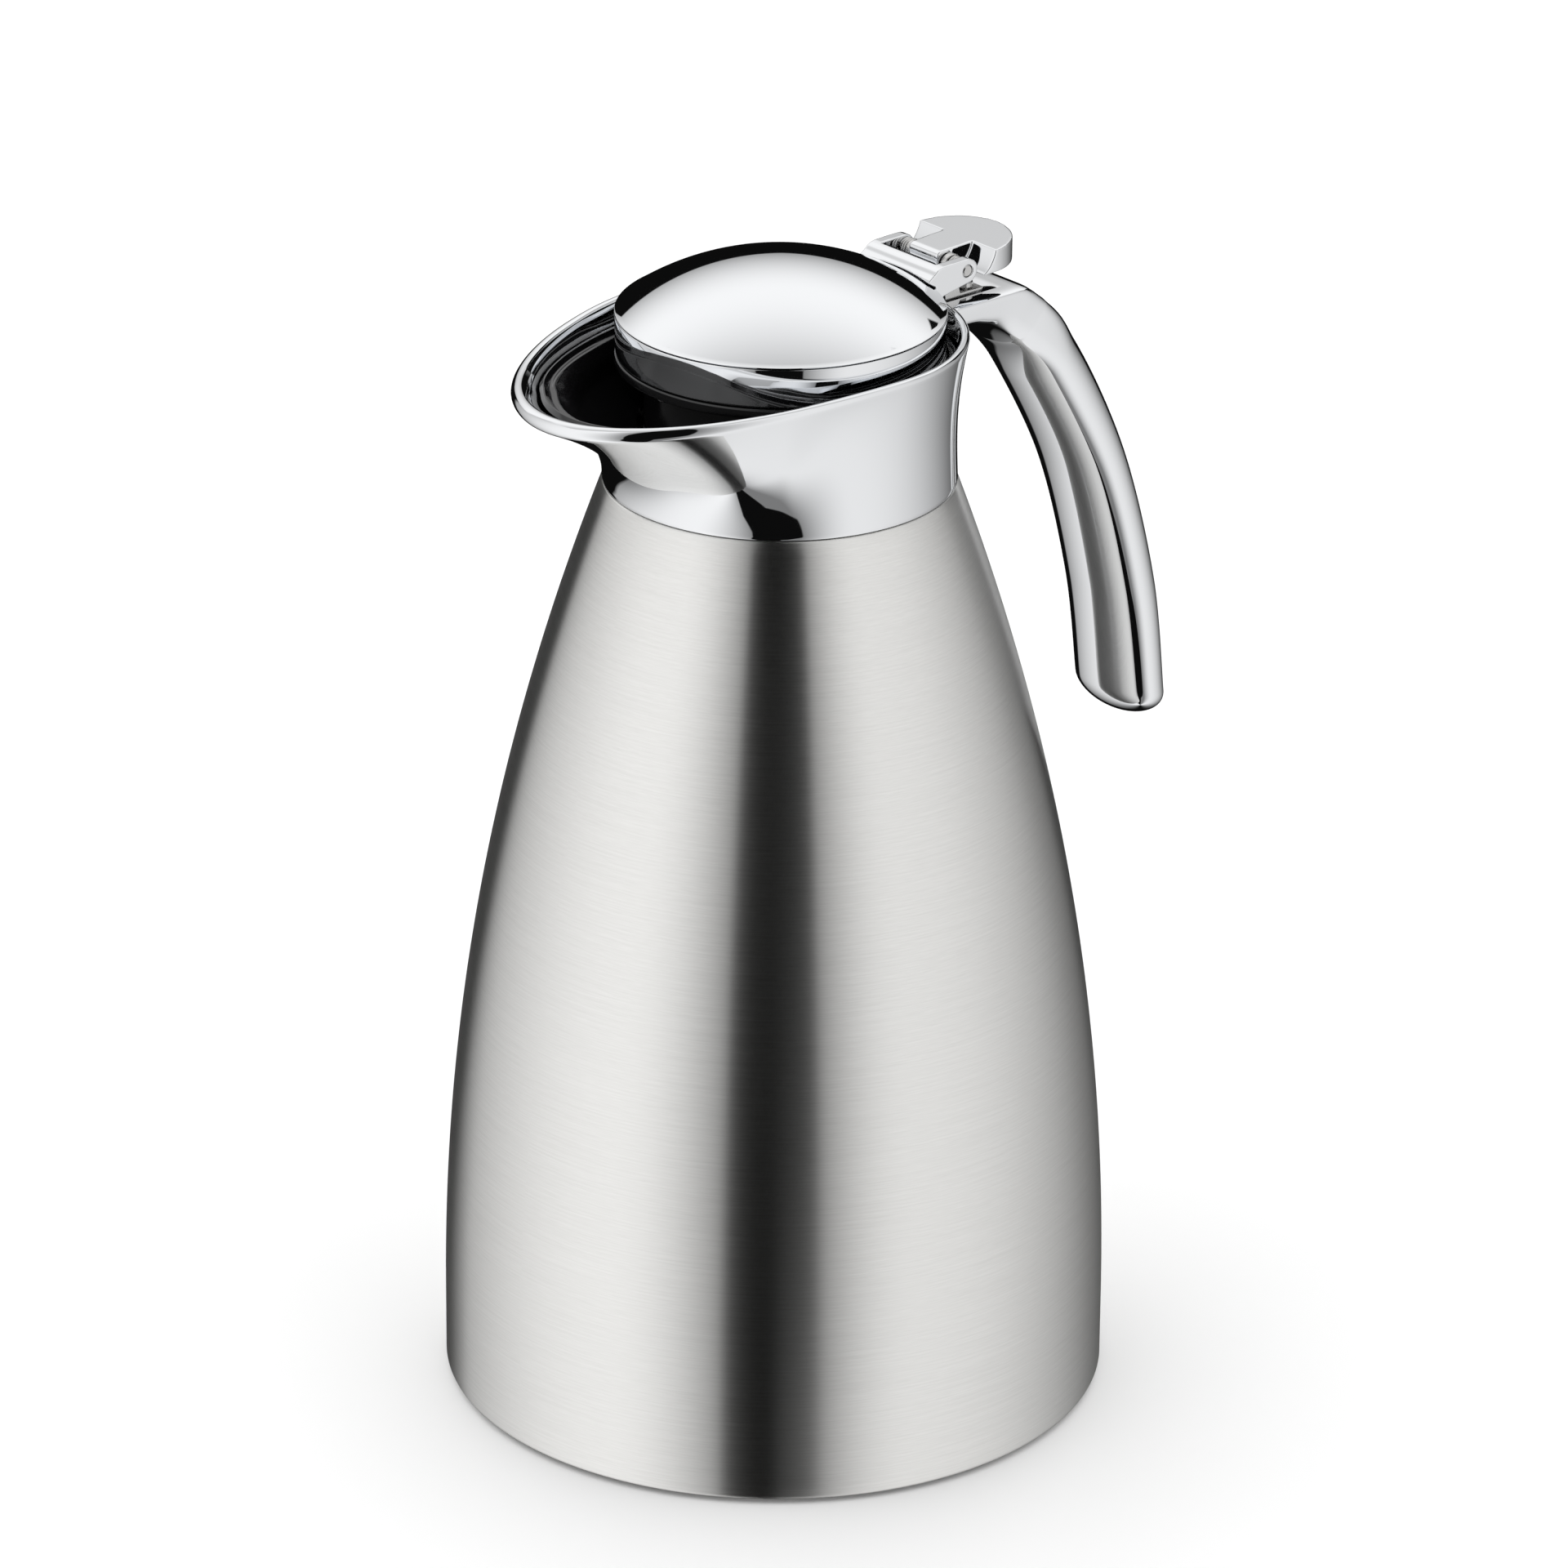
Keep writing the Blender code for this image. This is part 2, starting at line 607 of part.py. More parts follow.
def make_return_springs():
    """Two short torsion springs round the pin, between the lugs and the lid's ears."""
    wire, coil_radius, turns, pitch, sides, per_turn = 0.28, 1.85, 2.4, 0.66, 6, 14
    for name, sign in (("return_spring_left", 1), ("return_spring_right", -1)):
        start = (LUG_OUTER + EAR_INNER - turns * pitch) / 2
        loops = []
        for step in range(int(turns * per_turn) + 1):
            angle = math.tau * step / per_turn
            outward = Vector((math.cos(angle), 0, math.sin(angle)))
            y = sign * (start + pitch * step / per_turn)
            centre = Vector((PIN_X, y, PIN_Z)) + outward * coil_radius
            around = [math.tau * side / sides for side in range(sides)]
            loops.append([centre + (outward * math.cos(a) + Vector((0, math.sin(a), 0))) * wire
                          for a in around])
        skinned(name, loops, bright_steel())


def make_thumb_lever(axis):
    """Rounded paddle behind the pin, with a neck and a nose that lifts the lid's crossbar."""
    paddle_radius, paddle_centre, paddle_bottom, paddle_top = 11.5, 45.8, 229.4, 233.8
    front = PIN_X + EAR_RADIUS + 0.5
    outline = [(front, -paddle_radius), (paddle_centre, -paddle_radius)]
    outline += arc((paddle_centre, 0.0), paddle_radius, -80, 80, 14)
    outline += [(paddle_centre, paddle_radius), (front, paddle_radius)]
    lever = extruded("thumb_lever", outline, paddle_bottom, paddle_top, chrome(), axis="Z")
    upper_half = (paddle_bottom + paddle_top) / 2 * MM
    for vertex in lever.data.vertices:
        if vertex.co.z > upper_half:
            vertex.co.z += PADDLE_SLOPE * (vertex.co.x - PIN_X * MM)
    bevel = lever.modifiers.new("round_edges", "BEVEL")
    bevel.width = 0.7 * MM
    bevel.segments = 2
    neck = extruded("join_lever_neck", [
        (35.2, 227.9), (38.4, 227.9), (40.0, 228.0), (43.5, 229.5), (45.0, 232.0), (45.0, 233.7),
        (38.2, 233.4), (37.3, 232.6), (37.2, 229.7), (35.2, 229.5)],
        -NECK_HALF_WIDTH, NECK_HALF_WIDTH, None)
    combine(lever, neck, "UNION")
    combine(lever, pin_hole("cut_lever_pin"))
    hang(lever, axis)


# ---------------------------------------------------------------- lid

def dome_centre():
    """Height of the dome's sphere centre and the sphere's radius."""
    rise = DOME_APEX - DOME_EDGE
    radius = (LID_RADIUS ** 2 + rise ** 2) / (2 * rise)
    return DOME_APEX - radius, radius


def dome_profile(offset, edge_radius, steps=6):
    """Points on the dome, or on a surface parallel to it, from the axis to an edge radius."""
    centre, radius = dome_centre()
    points = []
    for step in range(steps + 1):
        r = edge_radius * step / steps
        points.append((r, centre + math.sqrt((radius + offset) ** 2 - r ** 2)))
    return points


def lid_envelope(name):
    """The lid's outside grown by the gap, from below the band to above the dome."""
    outside = dome_profile(GAP, LID_RADIUS + GAP)[::-1]
    return turned(name, [(0.0, 215.0), (LID_RADIUS + GAP, 215.0)] + outside, None)


def make_lid(axis):
    inner = LID_RADIUS - BAND_WALL
    band = turned("lid_band", [(LID_RADIUS, BAND_BOTTOM), (LID_RADIUS, BAND_TOP), (inner, BAND_TOP),
                               (inner, BAND_BOTTOM)], chrome(), ring=True)
    skirt = inner - GAP
    under = dome_profile(-DOME_WALL, skirt - 1.0)
    dome = turned("lid_dome", dome_profile(0.0, LID_RADIUS) + [
        (skirt, DOME_EDGE), (skirt, BAND_TOP - 3.0), (skirt - 1.0, BAND_TOP - 3.0)] + under[::-1], chrome())
    foam_bottom = FLANGE_TOP + GAP
    insulation_edge = 27.0
    insulation = turned("lid_insulation", [(0.0, foam_bottom), (insulation_edge, foam_bottom)]
                        + dome_profile(-DOME_WALL - GAP, insulation_edge, 4)[::-1], foam())
    for side, sign in (("left", 1), ("right", -1)):
        y, z = sign * 5.6, 227.0
        band_hole = rod(f"cut_band_screw_{side}", (28.0, y, z), (1, 0, 0), [(0.0, 1.1), (8.0, 1.1)], None)
        combine(band, band_hole)
        screw = rod(f"bracket_screw_{side}", (29.4, y, z), (1, 0, 0),
                    [(0.0, 1.5), (0.8, 1.5), (0.8, 0.8), (4.6, 0.8)], bright_steel(), segments=12)
        dome_slot = box(f"cut_dome_screw_{side}", (26.0, y - 2.0, z - 2.0), (33.0, y + 2.0, z + 1.9))
        combine(dome, dome_slot)
        hang(screw, axis)
    for made in (band, dome, insulation):
        hang(made, axis)


def make_stopper(axis):
    """Black stopper: a flange under the band and a hollow plug that closes the flask."""
    wall = 2.0
    stopper = turned("stopper_body", [
        (0.0, PLUG_BOTTOM), (PLUG_TIP_RADIUS, PLUG_BOTTOM), (PLUG_TOP_RADIUS, SEAT_HEIGHT - 1.0),
        (PLUG_TOP_RADIUS, STOPPER_SHOULDER), (STOPPER_RADIUS, STOPPER_SHOULDER),
        (STOPPER_RADIUS, FLANGE_BOTTOM),
        (LID_RADIUS - 0.6, FLANGE_BOTTOM), (LID_RADIUS, FLANGE_BOTTOM + 0.5), (LID_RADIUS, FLANGE_TOP),
        (STOPPER_RADIUS - wall, FLANGE_TOP), (STOPPER_RADIUS - wall, STOPPER_SHOULDER + wall),
        (PLUG_TOP_RADIUS - wall, STOPPER_SHOULDER + wall), (PLUG_TOP_RADIUS - wall, SEAT_HEIGHT - 1.0),
        (PLUG_TIP_RADIUS - wall, PLUG_BOTTOM + wall), (0.0, PLUG_BOTTOM + wall)], black_plastic())
    gasket = turned("stopper_gasket", [
        (PLUG_TOP_RADIUS + 0.2, SEAT_HEIGHT + GAP), (STOPPER_RADIUS - 0.4, SEAT_HEIGHT + GAP),
        (STOPPER_RADIUS, SEAT_HEIGHT + 0.8), (STOPPER_RADIUS, STOPPER_SHOULDER - 0.2),
        (PLUG_TOP_RADIUS + 0.2, STOPPER_SHOULDER - 0.2)], silicone(), ring=True)
    for index in range(3):
        turn = math.radians(60 + 120 * index)
        x, y = 29.5 * math.cos(turn), 29.5 * math.sin(turn)
        combine(stopper, rod(f"cut_stopper_screw_{index + 1}", (x, y, 215.0), (0, 0, 1),
                             [(0.0, 1.3), (9.0, 1.3)], None, segments=12))
        screw = rod(f"stopper_screw_{index + 1}", (x, y, FLANGE_BOTTOM - 1.2), (0, 0, 1),
                    [(0.0, 1.3), (0.3, 1.7), (0.9, 1.7), (0.9, 0.9), (6.5, 0.9)], bright_steel(),
                    segments=12)
        hang(screw, axis)
    hang(stopper, axis)
    hang(gasket, axis)


def make_lid_bracket(axis):
    """Crossbar over the dome's rear edge, a plate behind the band and two ears on the pin."""
    crossbar_back = 36.2
    outline = [(29.4, 230.7), (29.9, 231.2), (30.9, 231.9), (32.2, 232.9), (33.6, 233.3), (36.0, 233.35)]
    outline += arc((PIN_X, PIN_Z), EAR_RADIUS, 90, -90, 10)
    outline += [(33.6, 227.1), (32.0, 225.4), (29.4, 225.4)]
    bracket = extruded("lid_bracket", outline, -EAR_OUTER, EAR_OUTER, chrome())
    combine(bracket, lid_envelope("cut_bracket_lid"))
    window = box("cut_bracket_window", (crossbar_back, -EAR_INNER, 220.0), (50.0, EAR_INNER, 240.0))
    combine(bracket, window)
    combine(bracket, box("cut_bracket_recess", (33.4, -EAR_INNER, 231.0), (37.0, EAR_INNER, 240.0)))
    combine(bracket, box("cut_bracket_nose", (34.9, -EAR_INNER, 220.0), (40.0, EAR_INNER, 230.0)))
    combine(bracket, pin_hole("cut_bracket_pin"))
    for side, sign in (("left", 1), ("right", -1)):
        combine(bracket, rod(f"cut_bracket_screw_{side}", (28.0, sign * 5.6, 227.0), (1, 0, 0),
                             [(0.0, 1.1), (6.5, 1.1)], None, segments=12))
    hang(bracket, axis)


def main():
    for old in list(bpy.data.objects):
        bpy.data.objects.remove(old, do_unlink=True)
    make_body_shell()
    make_base()
    make_flask()
    make_flask_spacers()
    make_spout_collar()
    make_collar_liner()
    make_handle()
    make_handle_screws()
    make_hinge_block()
    make_hinge_pin()
    make_return_springs()
    lever_axis = hinge_empty("lever_axis")
    lid_axis = hinge_empty("lid_axis")
    make_thumb_lever(lever_axis)
    make_lid(lid_axis)
    make_stopper(lid_axis)
    make_lid_bracket(lid_axis)


main()
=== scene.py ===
"""Looks of the vacuum coffee pot: fine chrome, brushed steel and black plastic round the CAD frame.

Sizes in this file are millimetres in the CAD's own frame: the origin is on the body's axis
at table height, +Z is up, the handle points to +X and the spout to -X.
"""
import math

import bmesh
import bpy
from mathutils import Matrix, Vector


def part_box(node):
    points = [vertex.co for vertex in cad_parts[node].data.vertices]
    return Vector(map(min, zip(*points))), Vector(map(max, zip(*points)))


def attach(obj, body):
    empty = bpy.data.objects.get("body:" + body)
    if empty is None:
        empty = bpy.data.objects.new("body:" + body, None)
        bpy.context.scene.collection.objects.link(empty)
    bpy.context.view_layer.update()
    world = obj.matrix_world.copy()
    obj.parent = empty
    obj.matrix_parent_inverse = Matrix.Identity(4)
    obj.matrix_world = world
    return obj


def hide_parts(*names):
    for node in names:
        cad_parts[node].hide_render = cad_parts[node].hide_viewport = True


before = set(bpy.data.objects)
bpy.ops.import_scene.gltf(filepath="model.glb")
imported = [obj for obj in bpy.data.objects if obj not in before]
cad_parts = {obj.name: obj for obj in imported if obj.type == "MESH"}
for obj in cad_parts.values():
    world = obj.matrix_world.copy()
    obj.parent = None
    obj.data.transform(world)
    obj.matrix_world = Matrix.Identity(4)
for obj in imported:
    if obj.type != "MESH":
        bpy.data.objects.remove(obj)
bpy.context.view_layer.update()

MM = 0.001
FINE = 256             # sides of the large round pieces
MEDIUM = 96            # sides of inner and lower pieces
SMALL = 48             # sides of pins and screws


def extent(node):
    """Lowest and highest corner of a CAD node, in millimetres."""
    low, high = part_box(node)
    return low / MM, high / MM


# Driving sizes that the frame gives
SHELL_TOP = extent("body_shell")[1].z
SHELL_FOOT = extent("body_shell")[0].z
BASE_RADIUS = extent("body_shell")[1].y
COLLAR_BOTTOM = extent("spout_collar")[0].z
LID_RADIUS = extent("lid_band")[1].x
BAND_BOTTOM = extent("lid_band")[0].z
BAND_TOP = extent("lid_band")[1].z
DOME_APEX = extent("lid_dome")[1].z
PIN_HALF = extent("hinge_pin")[1].y
PIN_RADIUS = (extent("hinge_pin")[1].z - extent("hinge_pin")[0].z) / 2
PIN_X = (extent("hinge_pin")[0].x + extent("hinge_pin")[1].x) / 2
PIN_Z = (extent("hinge_pin")[0].z + extent("hinge_pin")[1].z) / 2
EAR_OUTER = extent("lid_bracket")[1].y
ARM_TOP = extent("handle")[1].z
BAR_HALF_WIDTH = extent("handle")[1].y
ARM_POWER = 9.0
ARM_LOW_POWER = 2.6
BAR_POWERS = (2.1, 2.0)
STOPPER_BOTTOM, STOPPER_TOP = (corner.z for corner in extent("stopper_body"))

# Shape of the body, as the CAD has it
NECK_RADIUS = 35.3
CURVE_START = 15.0
CURVE_POWER = 2.05
SHELL_WALL = 0.8

# Shape of the collar
COLLAR_WALL = 1.2
COLLAR_WAIST = 0.4
REAR_RIM_RADIUS = 37.2
SPOUT_REACH = 60.4
REAR_RIM_HEIGHT = 224.0
SPOUT_DROP = 5.4
SPOUT_DROP_POWER = 1.7
REAR_FLARE_POWER = 2.7
CONE_FOOT = 0.45
CONE_FOOT_GROWTH = 3.2
CONE_SHARE = 0.44
REAR_LIP = 1.8
SPOUT_LIP = 3.4
GAP = 0.3
LINER_WALL = 1.6
LINER_LEDGE = 1.0
BAND_TAPER = 0.2
THROAT_RADIUS = 24.5
SEAT_HEIGHT = 203.4
SEAT_RADIUS = 27.8
LINER_BOTTOM = extent("collar_liner")[0].z

# Shape of the handle and hinge
ARM_START = 34.5
ARM_HALF_WIDTH = 10.5
POCKET_FLOOR = 222.2
POCKET_END = 52.0
POCKET_HALF_WIDTH = 6.6
EAR_INNER = 8.2
EAR_RADIUS = 2.5
LUG_INNER = 4.6
LUG_OUTER = 5.9
LUG_RADIUS = 2.3
NECK_HALF_WIDTH = 4.3
LEVER_SLOPE = 0.045    # rise of the paddle's top per length


# ---------------------------------------------------------------- node helpers

class Nodes:
    """Short calls to add and link shader nodes in one tree."""

    def __init__(self, tree):
        self.tree = tree

    def add(self, kind, **settings):
        node = self.tree.nodes.new(kind)
        inputs = settings.pop("inputs", {})
        for key, value in settings.items():
            setattr(node, key, value)
        for key, value in inputs.items():
            self.feed(node.inputs[key], value)
        return node

    def feed(self, socket, value):
        if isinstance(value, bpy.types.NodeSocket):
            self.tree.links.new(value, socket)
        else:
            socket.default_value = value

    def math(self, operation, *values, clamp=False):
        node = self.add("ShaderNodeMath", operation=operation, use_clamp=clamp)
        for index, value in enumerate(values):
            self.feed(node.inputs[index], value)
        return node.outputs[0]

    def ramp(self, value, stops, interpolation="EASE"):
        """Colour ramp from (position, grey or rgb) stops."""
        node = self.add("ShaderNodeValToRGB")
        node.color_ramp.interpolation = interpolation
        elements = node.color_ramp.elements
        while len(elements) < len(stops):
            elements.new(0.5)
        for element, (position, colour) in zip(elements, stops):
            rgb = colour if isinstance(colour, tuple) else (colour,) * 3
            element.position = position
            element.color = (*rgb, 1.0)
        self.feed(node.inputs[0], value)
        return node.outputs[0]

    def mix(self, share, first, second):
        node = self.add("ShaderNodeMix", data_type="RGBA")
        self.feed(node.inputs["Factor"], share)
        for key, value in (("A", first), ("B", second)):
            socket = [s for s in node.inputs if s.name == key and s.type == "RGBA"][0]
            self.feed(socket, value)
        return [s for s in node.outputs if s.type == "RGBA"][0]

    def span(self, value, low, high):
        """Map 0..1 to low..high."""
        node = self.add("ShaderNodeMapRange")
        self.feed(node.inputs["Value"], value)
        node.inputs["To Min"].default_value = low
        node.inputs["To Max"].default_value = high
        return node.outputs[0]

    def noise(self, vector, scale, detail=3.0, roughness=0.5):
        node = self.add("ShaderNodeTexNoise")
        self.feed(node.inputs["Vector"], vector)
        node.inputs["Scale"].default_value = scale
        node.inputs["Detail"].default_value = detail
        node.inputs["Roughness"].default_value = roughness
        return node.outputs["Fac"]

    def bump(self, height, distance, strength=1.0):
        node = self.add("ShaderNodeBump")
        node.inputs["Strength"].default_value = strength
        node.inputs["Distance"].default_value = distance
        self.feed(node.inputs["Height"], height)
        return node.outputs[0]

    def object_point(self):
        return self.add("ShaderNodeTexCoord").outputs["Object"]

    def stretched(self, vector, scale):
        node = self.add("ShaderNodeMapping")
        self.feed(node.inputs["Vector"], vector)
        node.inputs["Scale"].default_value = scale
        return node.outputs[0]


def new_material(name, **settings):
    """A Principled material; settings are its sockets' own values."""
    made = bpy.data.materials.new(name)
    made.use_nodes = True
    shader = made.node_tree.nodes["Principled BSDF"]
    for key, value in settings.items():
        socket = shader.inputs[key.replace("_", " ")]
        socket.default_value = (*value, 1.0) if isinstance(value, tuple) else value
    return made, Nodes(made.node_tree), shader


# ---------------------------------------------------------------- materials

def brushed_steel():
    """Satin steel with fine brushing that runs round the body."""
    made, nodes, shader = new_material(
        "brushed_steel", Base_Color=(0.90, 0.895, 0.875), Metallic=1.0, Anisotropic=1.0)
    point = nodes.object_point()
    parts = nodes.add("ShaderNodeSeparateXYZ", inputs={0: point})
    turn = nodes.math("ARCTAN2", parts.outputs[1], parts.outputs[0])
    streak_point = nodes.add("ShaderNodeCombineXYZ", inputs={0: turn, 1: parts.outputs[2]})
    long_streaks = nodes.noise(nodes.stretched(streak_point.outputs[0], (2.2, 2600.0, 1.0)), 1.0, 2.0)
    short_streaks = nodes.noise(nodes.stretched(streak_point.outputs[0], (14.0, 5200.0, 1.0)), 1.0, 3.0)
    streaks = nodes.math("MULTIPLY_ADD", short_streaks, 0.5, nodes.math("MULTIPLY", long_streaks, 0.5))
    tone = nodes.ramp(streaks, [(0.36, (0.85, 0.845, 0.825)), (0.64, (0.93, 0.925, 0.905))], "LINEAR")
    nodes.feed(shader.inputs["Base Color"], tone)
    nodes.feed(shader.inputs["Roughness"], nodes.span(streaks, 0.26, 0.34))
    nodes.feed(shader.inputs["Normal"], nodes.bump(streaks, 0.000012, 0.5))
    tangent = nodes.add("ShaderNodeTangent", direction_type="RADIAL", axis="Z")
    nodes.feed(shader.inputs["Tangent"], tangent.outputs[0])
    shader.inputs["Anisotropic Rotation"].default_value = 0.25
    return made


def chrome():
    """Mirror chrome with the faintest haze and waviness of a plated casting."""
    made, nodes, shader = new_material("chrome", Base_Color=(0.88, 0.89, 0.905), Metallic=1.0)
    point = nodes.object_point()
    haze = nodes.noise(point, 120.0, 4.0)
    nodes.feed(shader.inputs["Roughness"], nodes.span(haze, 0.015, 0.05))
    wave = nodes.noise(point, 55.0, 1.0)
    nodes.feed(shader.inputs["Normal"], nodes.bump(wave, 0.00004, 0.25))
    return made


def turned_steel():
    """Plain turned steel for pins, screws, springs and the hinge block."""
    made, nodes, shader = new_material("turned_steel", Base_Color=(0.66, 0.655, 0.645), Metallic=1.0)
    point = nodes.object_point()
    grain = nodes.noise(nodes.stretched(point, (900.0, 2400.0, 900.0)), 1.0, 3.0)
    nodes.feed(shader.inputs["Roughness"], nodes.span(grain, 0.16, 0.34))
    nodes.feed(shader.inputs["Normal"], nodes.bump(grain, 0.00001, 0.4))
    return made


def black_gloss():
    """Glossy black moulding with a slight orange peel."""
    made, nodes, shader = new_material(
        "black_gloss", Base_Color=(0.006, 0.006, 0.0065), Specular_IOR_Level=0.55, Coat_Weight=0.3,
        Coat_Roughness=0.03)
    point = nodes.object_point()
    peel = nodes.noise(point, 260.0, 2.0)
    nodes.feed(shader.inputs["Roughness"], nodes.span(peel, 0.1, 0.15))
    nodes.feed(shader.inputs["Normal"], nodes.bump(peel, 0.00001, 0.05))
    return made


def black_matt():
    """Fine-textured black plastic of the base."""
    made, nodes, shader = new_material("black_matt", Base_Color=(0.014, 0.014, 0.015))
    grain = nodes.noise(nodes.object_point(), 3500.0, 4.0, 0.6)
    nodes.feed(shader.inputs["Roughness"], nodes.span(grain, 0.42, 0.62))
    nodes.feed(shader.inputs["Normal"], nodes.bump(grain, 0.00004, 0.6))
    return made


def silicone():
    """Dull dark silicone with a dusty surface."""
    made, nodes, shader = new_material("silicone", Base_Color=(0.03, 0.03, 0.031), Sheen_Weight=0.15)
    dust = nodes.noise(nodes.object_point(), 900.0, 5.0, 0.65)
    nodes.feed(shader.inputs["Base Color"], nodes.ramp(dust, [(0.35, 0.022), (0.75, 0.045)], "LINEAR"))
    nodes.feed(shader.inputs["Roughness"], nodes.span(dust, 0.5, 0.75))
    nodes.feed(shader.inputs["Normal"], nodes.bump(dust, 0.00003, 0.4))
    return made


def silvered_glass():
    """Silvered flask glass: a mirror under a clear skin with slow waves."""
    made, nodes, shader = new_material(
        "silvered_glass", Base_Color=(0.80, 0.81, 0.83), Metallic=1.0, Coat_Weight=0.6, Coat_Roughness=0.02)
    wave = nodes.noise(nodes.object_point(), 45.0, 2.0)
    nodes.feed(shader.inputs["Roughness"], nodes.span(wave, 0.04, 0.1))
    nodes.feed(shader.inputs["Normal"], nodes.bump(wave, 0.0003, 0.5))
    return made


def pale_foam():
    made, nodes, shader = new_material("pale_foam", Base_Color=(0.78, 0.76, 0.7))
    cells = nodes.noise(nodes.object_point(), 1500.0, 5.0, 0.7)
    nodes.feed(shader.inputs["Roughness"], nodes.span(cells, 0.8, 0.98))
    nodes.feed(shader.inputs["Normal"], nodes.bump(cells, 0.0002, 0.7))
    return made


STEEL = brushed_steel()
CHROME = chrome()
TURNED = turned_steel()
BLACK = black_gloss()
MATT = black_matt()
SILICONE = silicone()
GLASS = silvered_glass()
FOAM = pale_foam()


# ---------------------------------------------------------------- mesh helpers

def finish_piece(name, bm, surface, smooth_angle=38.0):
    """Turn a bmesh into an object with outward normals and smooth shading."""
    bmesh.ops.recalc_face_normals(bm, faces=bm.faces)
    mesh = bpy.data.meshes.new(name)
    bm.to_mesh(mesh)
    bm.free()
    mesh.shade_smooth()
    mesh.set_sharp_from_angle(angle=math.radians(smooth_angle))
    if surface:
        mesh.materials.append(surface)
    made = bpy.data.objects.new(name, mesh)
    bpy.context.scene.collection.objects.link(made)
    return made


def stand_for(made, body, slot, *nodes):
    """Ride a body and replace CAD nodes; the slot argument is not used."""
    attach(made, body)
    if nodes:
        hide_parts(*nodes)
    return made


def rounded(points, radius, steps=5, closed=True):
    """Round the corners of an outline with quadratic fillets of about the given radius."""
    result = []
    count = len(points)
    for index, point in enumerate(points):
        here = Vector(point)
        if not closed and index in (0, count - 1):
            result.append(tuple(here))
            continue
        before, after = Vector(points[index - 1]), Vector(points[(index + 1) % count])
        reach = min(radius, (before - here).length * 0.45, (after - here).length * 0.45)
        start = here + (before - here).normalized() * reach
        end = here + (after - here).normalized() * reach
        for step in range(steps + 1):
            t = step / steps
            result.append(tuple(start * (1 - t) ** 2 + here * 2 * t * (1 - t) + end * t * t))
    return result


def turned(name, profile, surface, ring=False, segments=FINE, smooth_angle=38.0):
    """Turn (radius, height) points round Z; a profile that isn't a ring starts and ends on the axis."""
    bm = bmesh.new()
    rows = []
    for radius, height in profile:
        if radius < 1e-6:
            rows.append([bm.verts.new((0.0, 0.0, height * MM))])
            continue
        rows.append([bm.verts.new((radius * MM * math.cos(a), radius * MM * math.sin(a), height * MM))
                     for a in (math.tau * i / segments for i in range(segments))])
    pairs = list(zip(rows, rows[1:]))
    if ring:
        pairs.append((rows[-1], rows[0]))
    for low, high in pairs:
        for index in range(segments):
            after = (index + 1) % segments
            corners = [low[index % len(low)], low[after % len(low)],
                       high[after % len(high)], high[index % len(high)]]
            unique = list(dict.fromkeys(corners))
            if len(unique) > 2:
                bm.faces.new(unique)
    return finish_piece(name, bm, surface, smooth_angle)


def skinned(name, loops, surface, ring=False, smooth_angle=38.0):
    """Skin loops of equally many points; open ends are capped."""
    bm = bmesh.new()
    rows = [[bm.verts.new(Vector(point) * MM) for point in loop] for loop in loops]
    pairs = list(zip(rows, rows[1:]))
    if ring:
        pairs.append((rows[-1], rows[0]))
    for row, following in pairs:
        for index in range(len(row)):
            after = (index + 1) % len(row)
            bm.faces.new((row[index], row[after], following[after], following[index]))
    if not ring:
        bm.faces.new(rows[0])
        bm.faces.new(rows[-1])
    return finish_piece(name, bm, surface, smooth_angle)


def extruded(name, outline, low, high, surface, axis="Y"):
    """Extrude a flat outline: (x, z) points along Y, or (x, y) points along Z."""
    bm = bmesh.new()

    def place(point, depth):
        first, second = point
        return (first * MM, depth * MM, second * MM) if axis == "Y" else (
            first * MM, second * MM, depth * MM)

    face = bm.faces.new([bm.verts.new(place(point, low)) for point in outline])
    moved = bmesh.ops.extrude_face_region(bm, geom=[face])
    step = Vector(place((0.0, 0.0), high - low))
    bmesh.ops.translate(bm, vec=step, verts=[v for v in moved["geom"] if isinstance(v, bmesh.types.BMVert)])
    return finish_piece(name, bm, surface)


def rod(name, start, direction, stations, surface, segments=SMALL):
    """A turned rod along a direction; stations are (distance from start, radius)."""
    profile = [(0.0, stations[0][0])]
    profile += [(radius, distance) for distance, radius in stations]
    profile += [(0.0, stations[-1][0])]
    made = turned(name, profile, surface, segments=segments)
    turn = Vector((0, 0, 1)).rotation_difference(Vector(direction)).to_matrix().to_4x4()
    made.data.transform(Matrix.Translation(Vector(start) * MM) @ turn)
    return made


def block(name, low, high):
    outline = [(low[0], low[2]), (high[0], low[2]), (high[0], high[2]), (low[0], high[2])]
    return extruded(name, outline, low[1], high[1], None)


def arc(centre, radius, start, end, steps):
    """Points on an arc, with angles in degrees from the first axis."""
    angles = [math.radians(start + (end - start) * step / steps) for step in range(steps + 1)]
    return [(centre[0] + radius * math.cos(a), centre[1] + radius * math.sin(a)) for a in angles]


def apply_modifiers(target):
    """Replace the target's mesh with its evaluated one and clear its modifiers."""
    graph = bpy.context.evaluated_depsgraph_get()
    made = bpy.data.meshes.new_from_object(target.evaluated_get(graph))
    target.modifiers.clear()
    target.data = made


def combine(target, other, operation="DIFFERENCE"):
    """Apply a Boolean with another object, which is used up."""
    modifier = target.modifiers.new("cut", "BOOLEAN")
    modifier.operation = operation
    modifier.solver = "EXACT"
    modifier.object = other
    apply_modifiers(target)
    bpy.data.objects.remove(other, do_unlink=True)


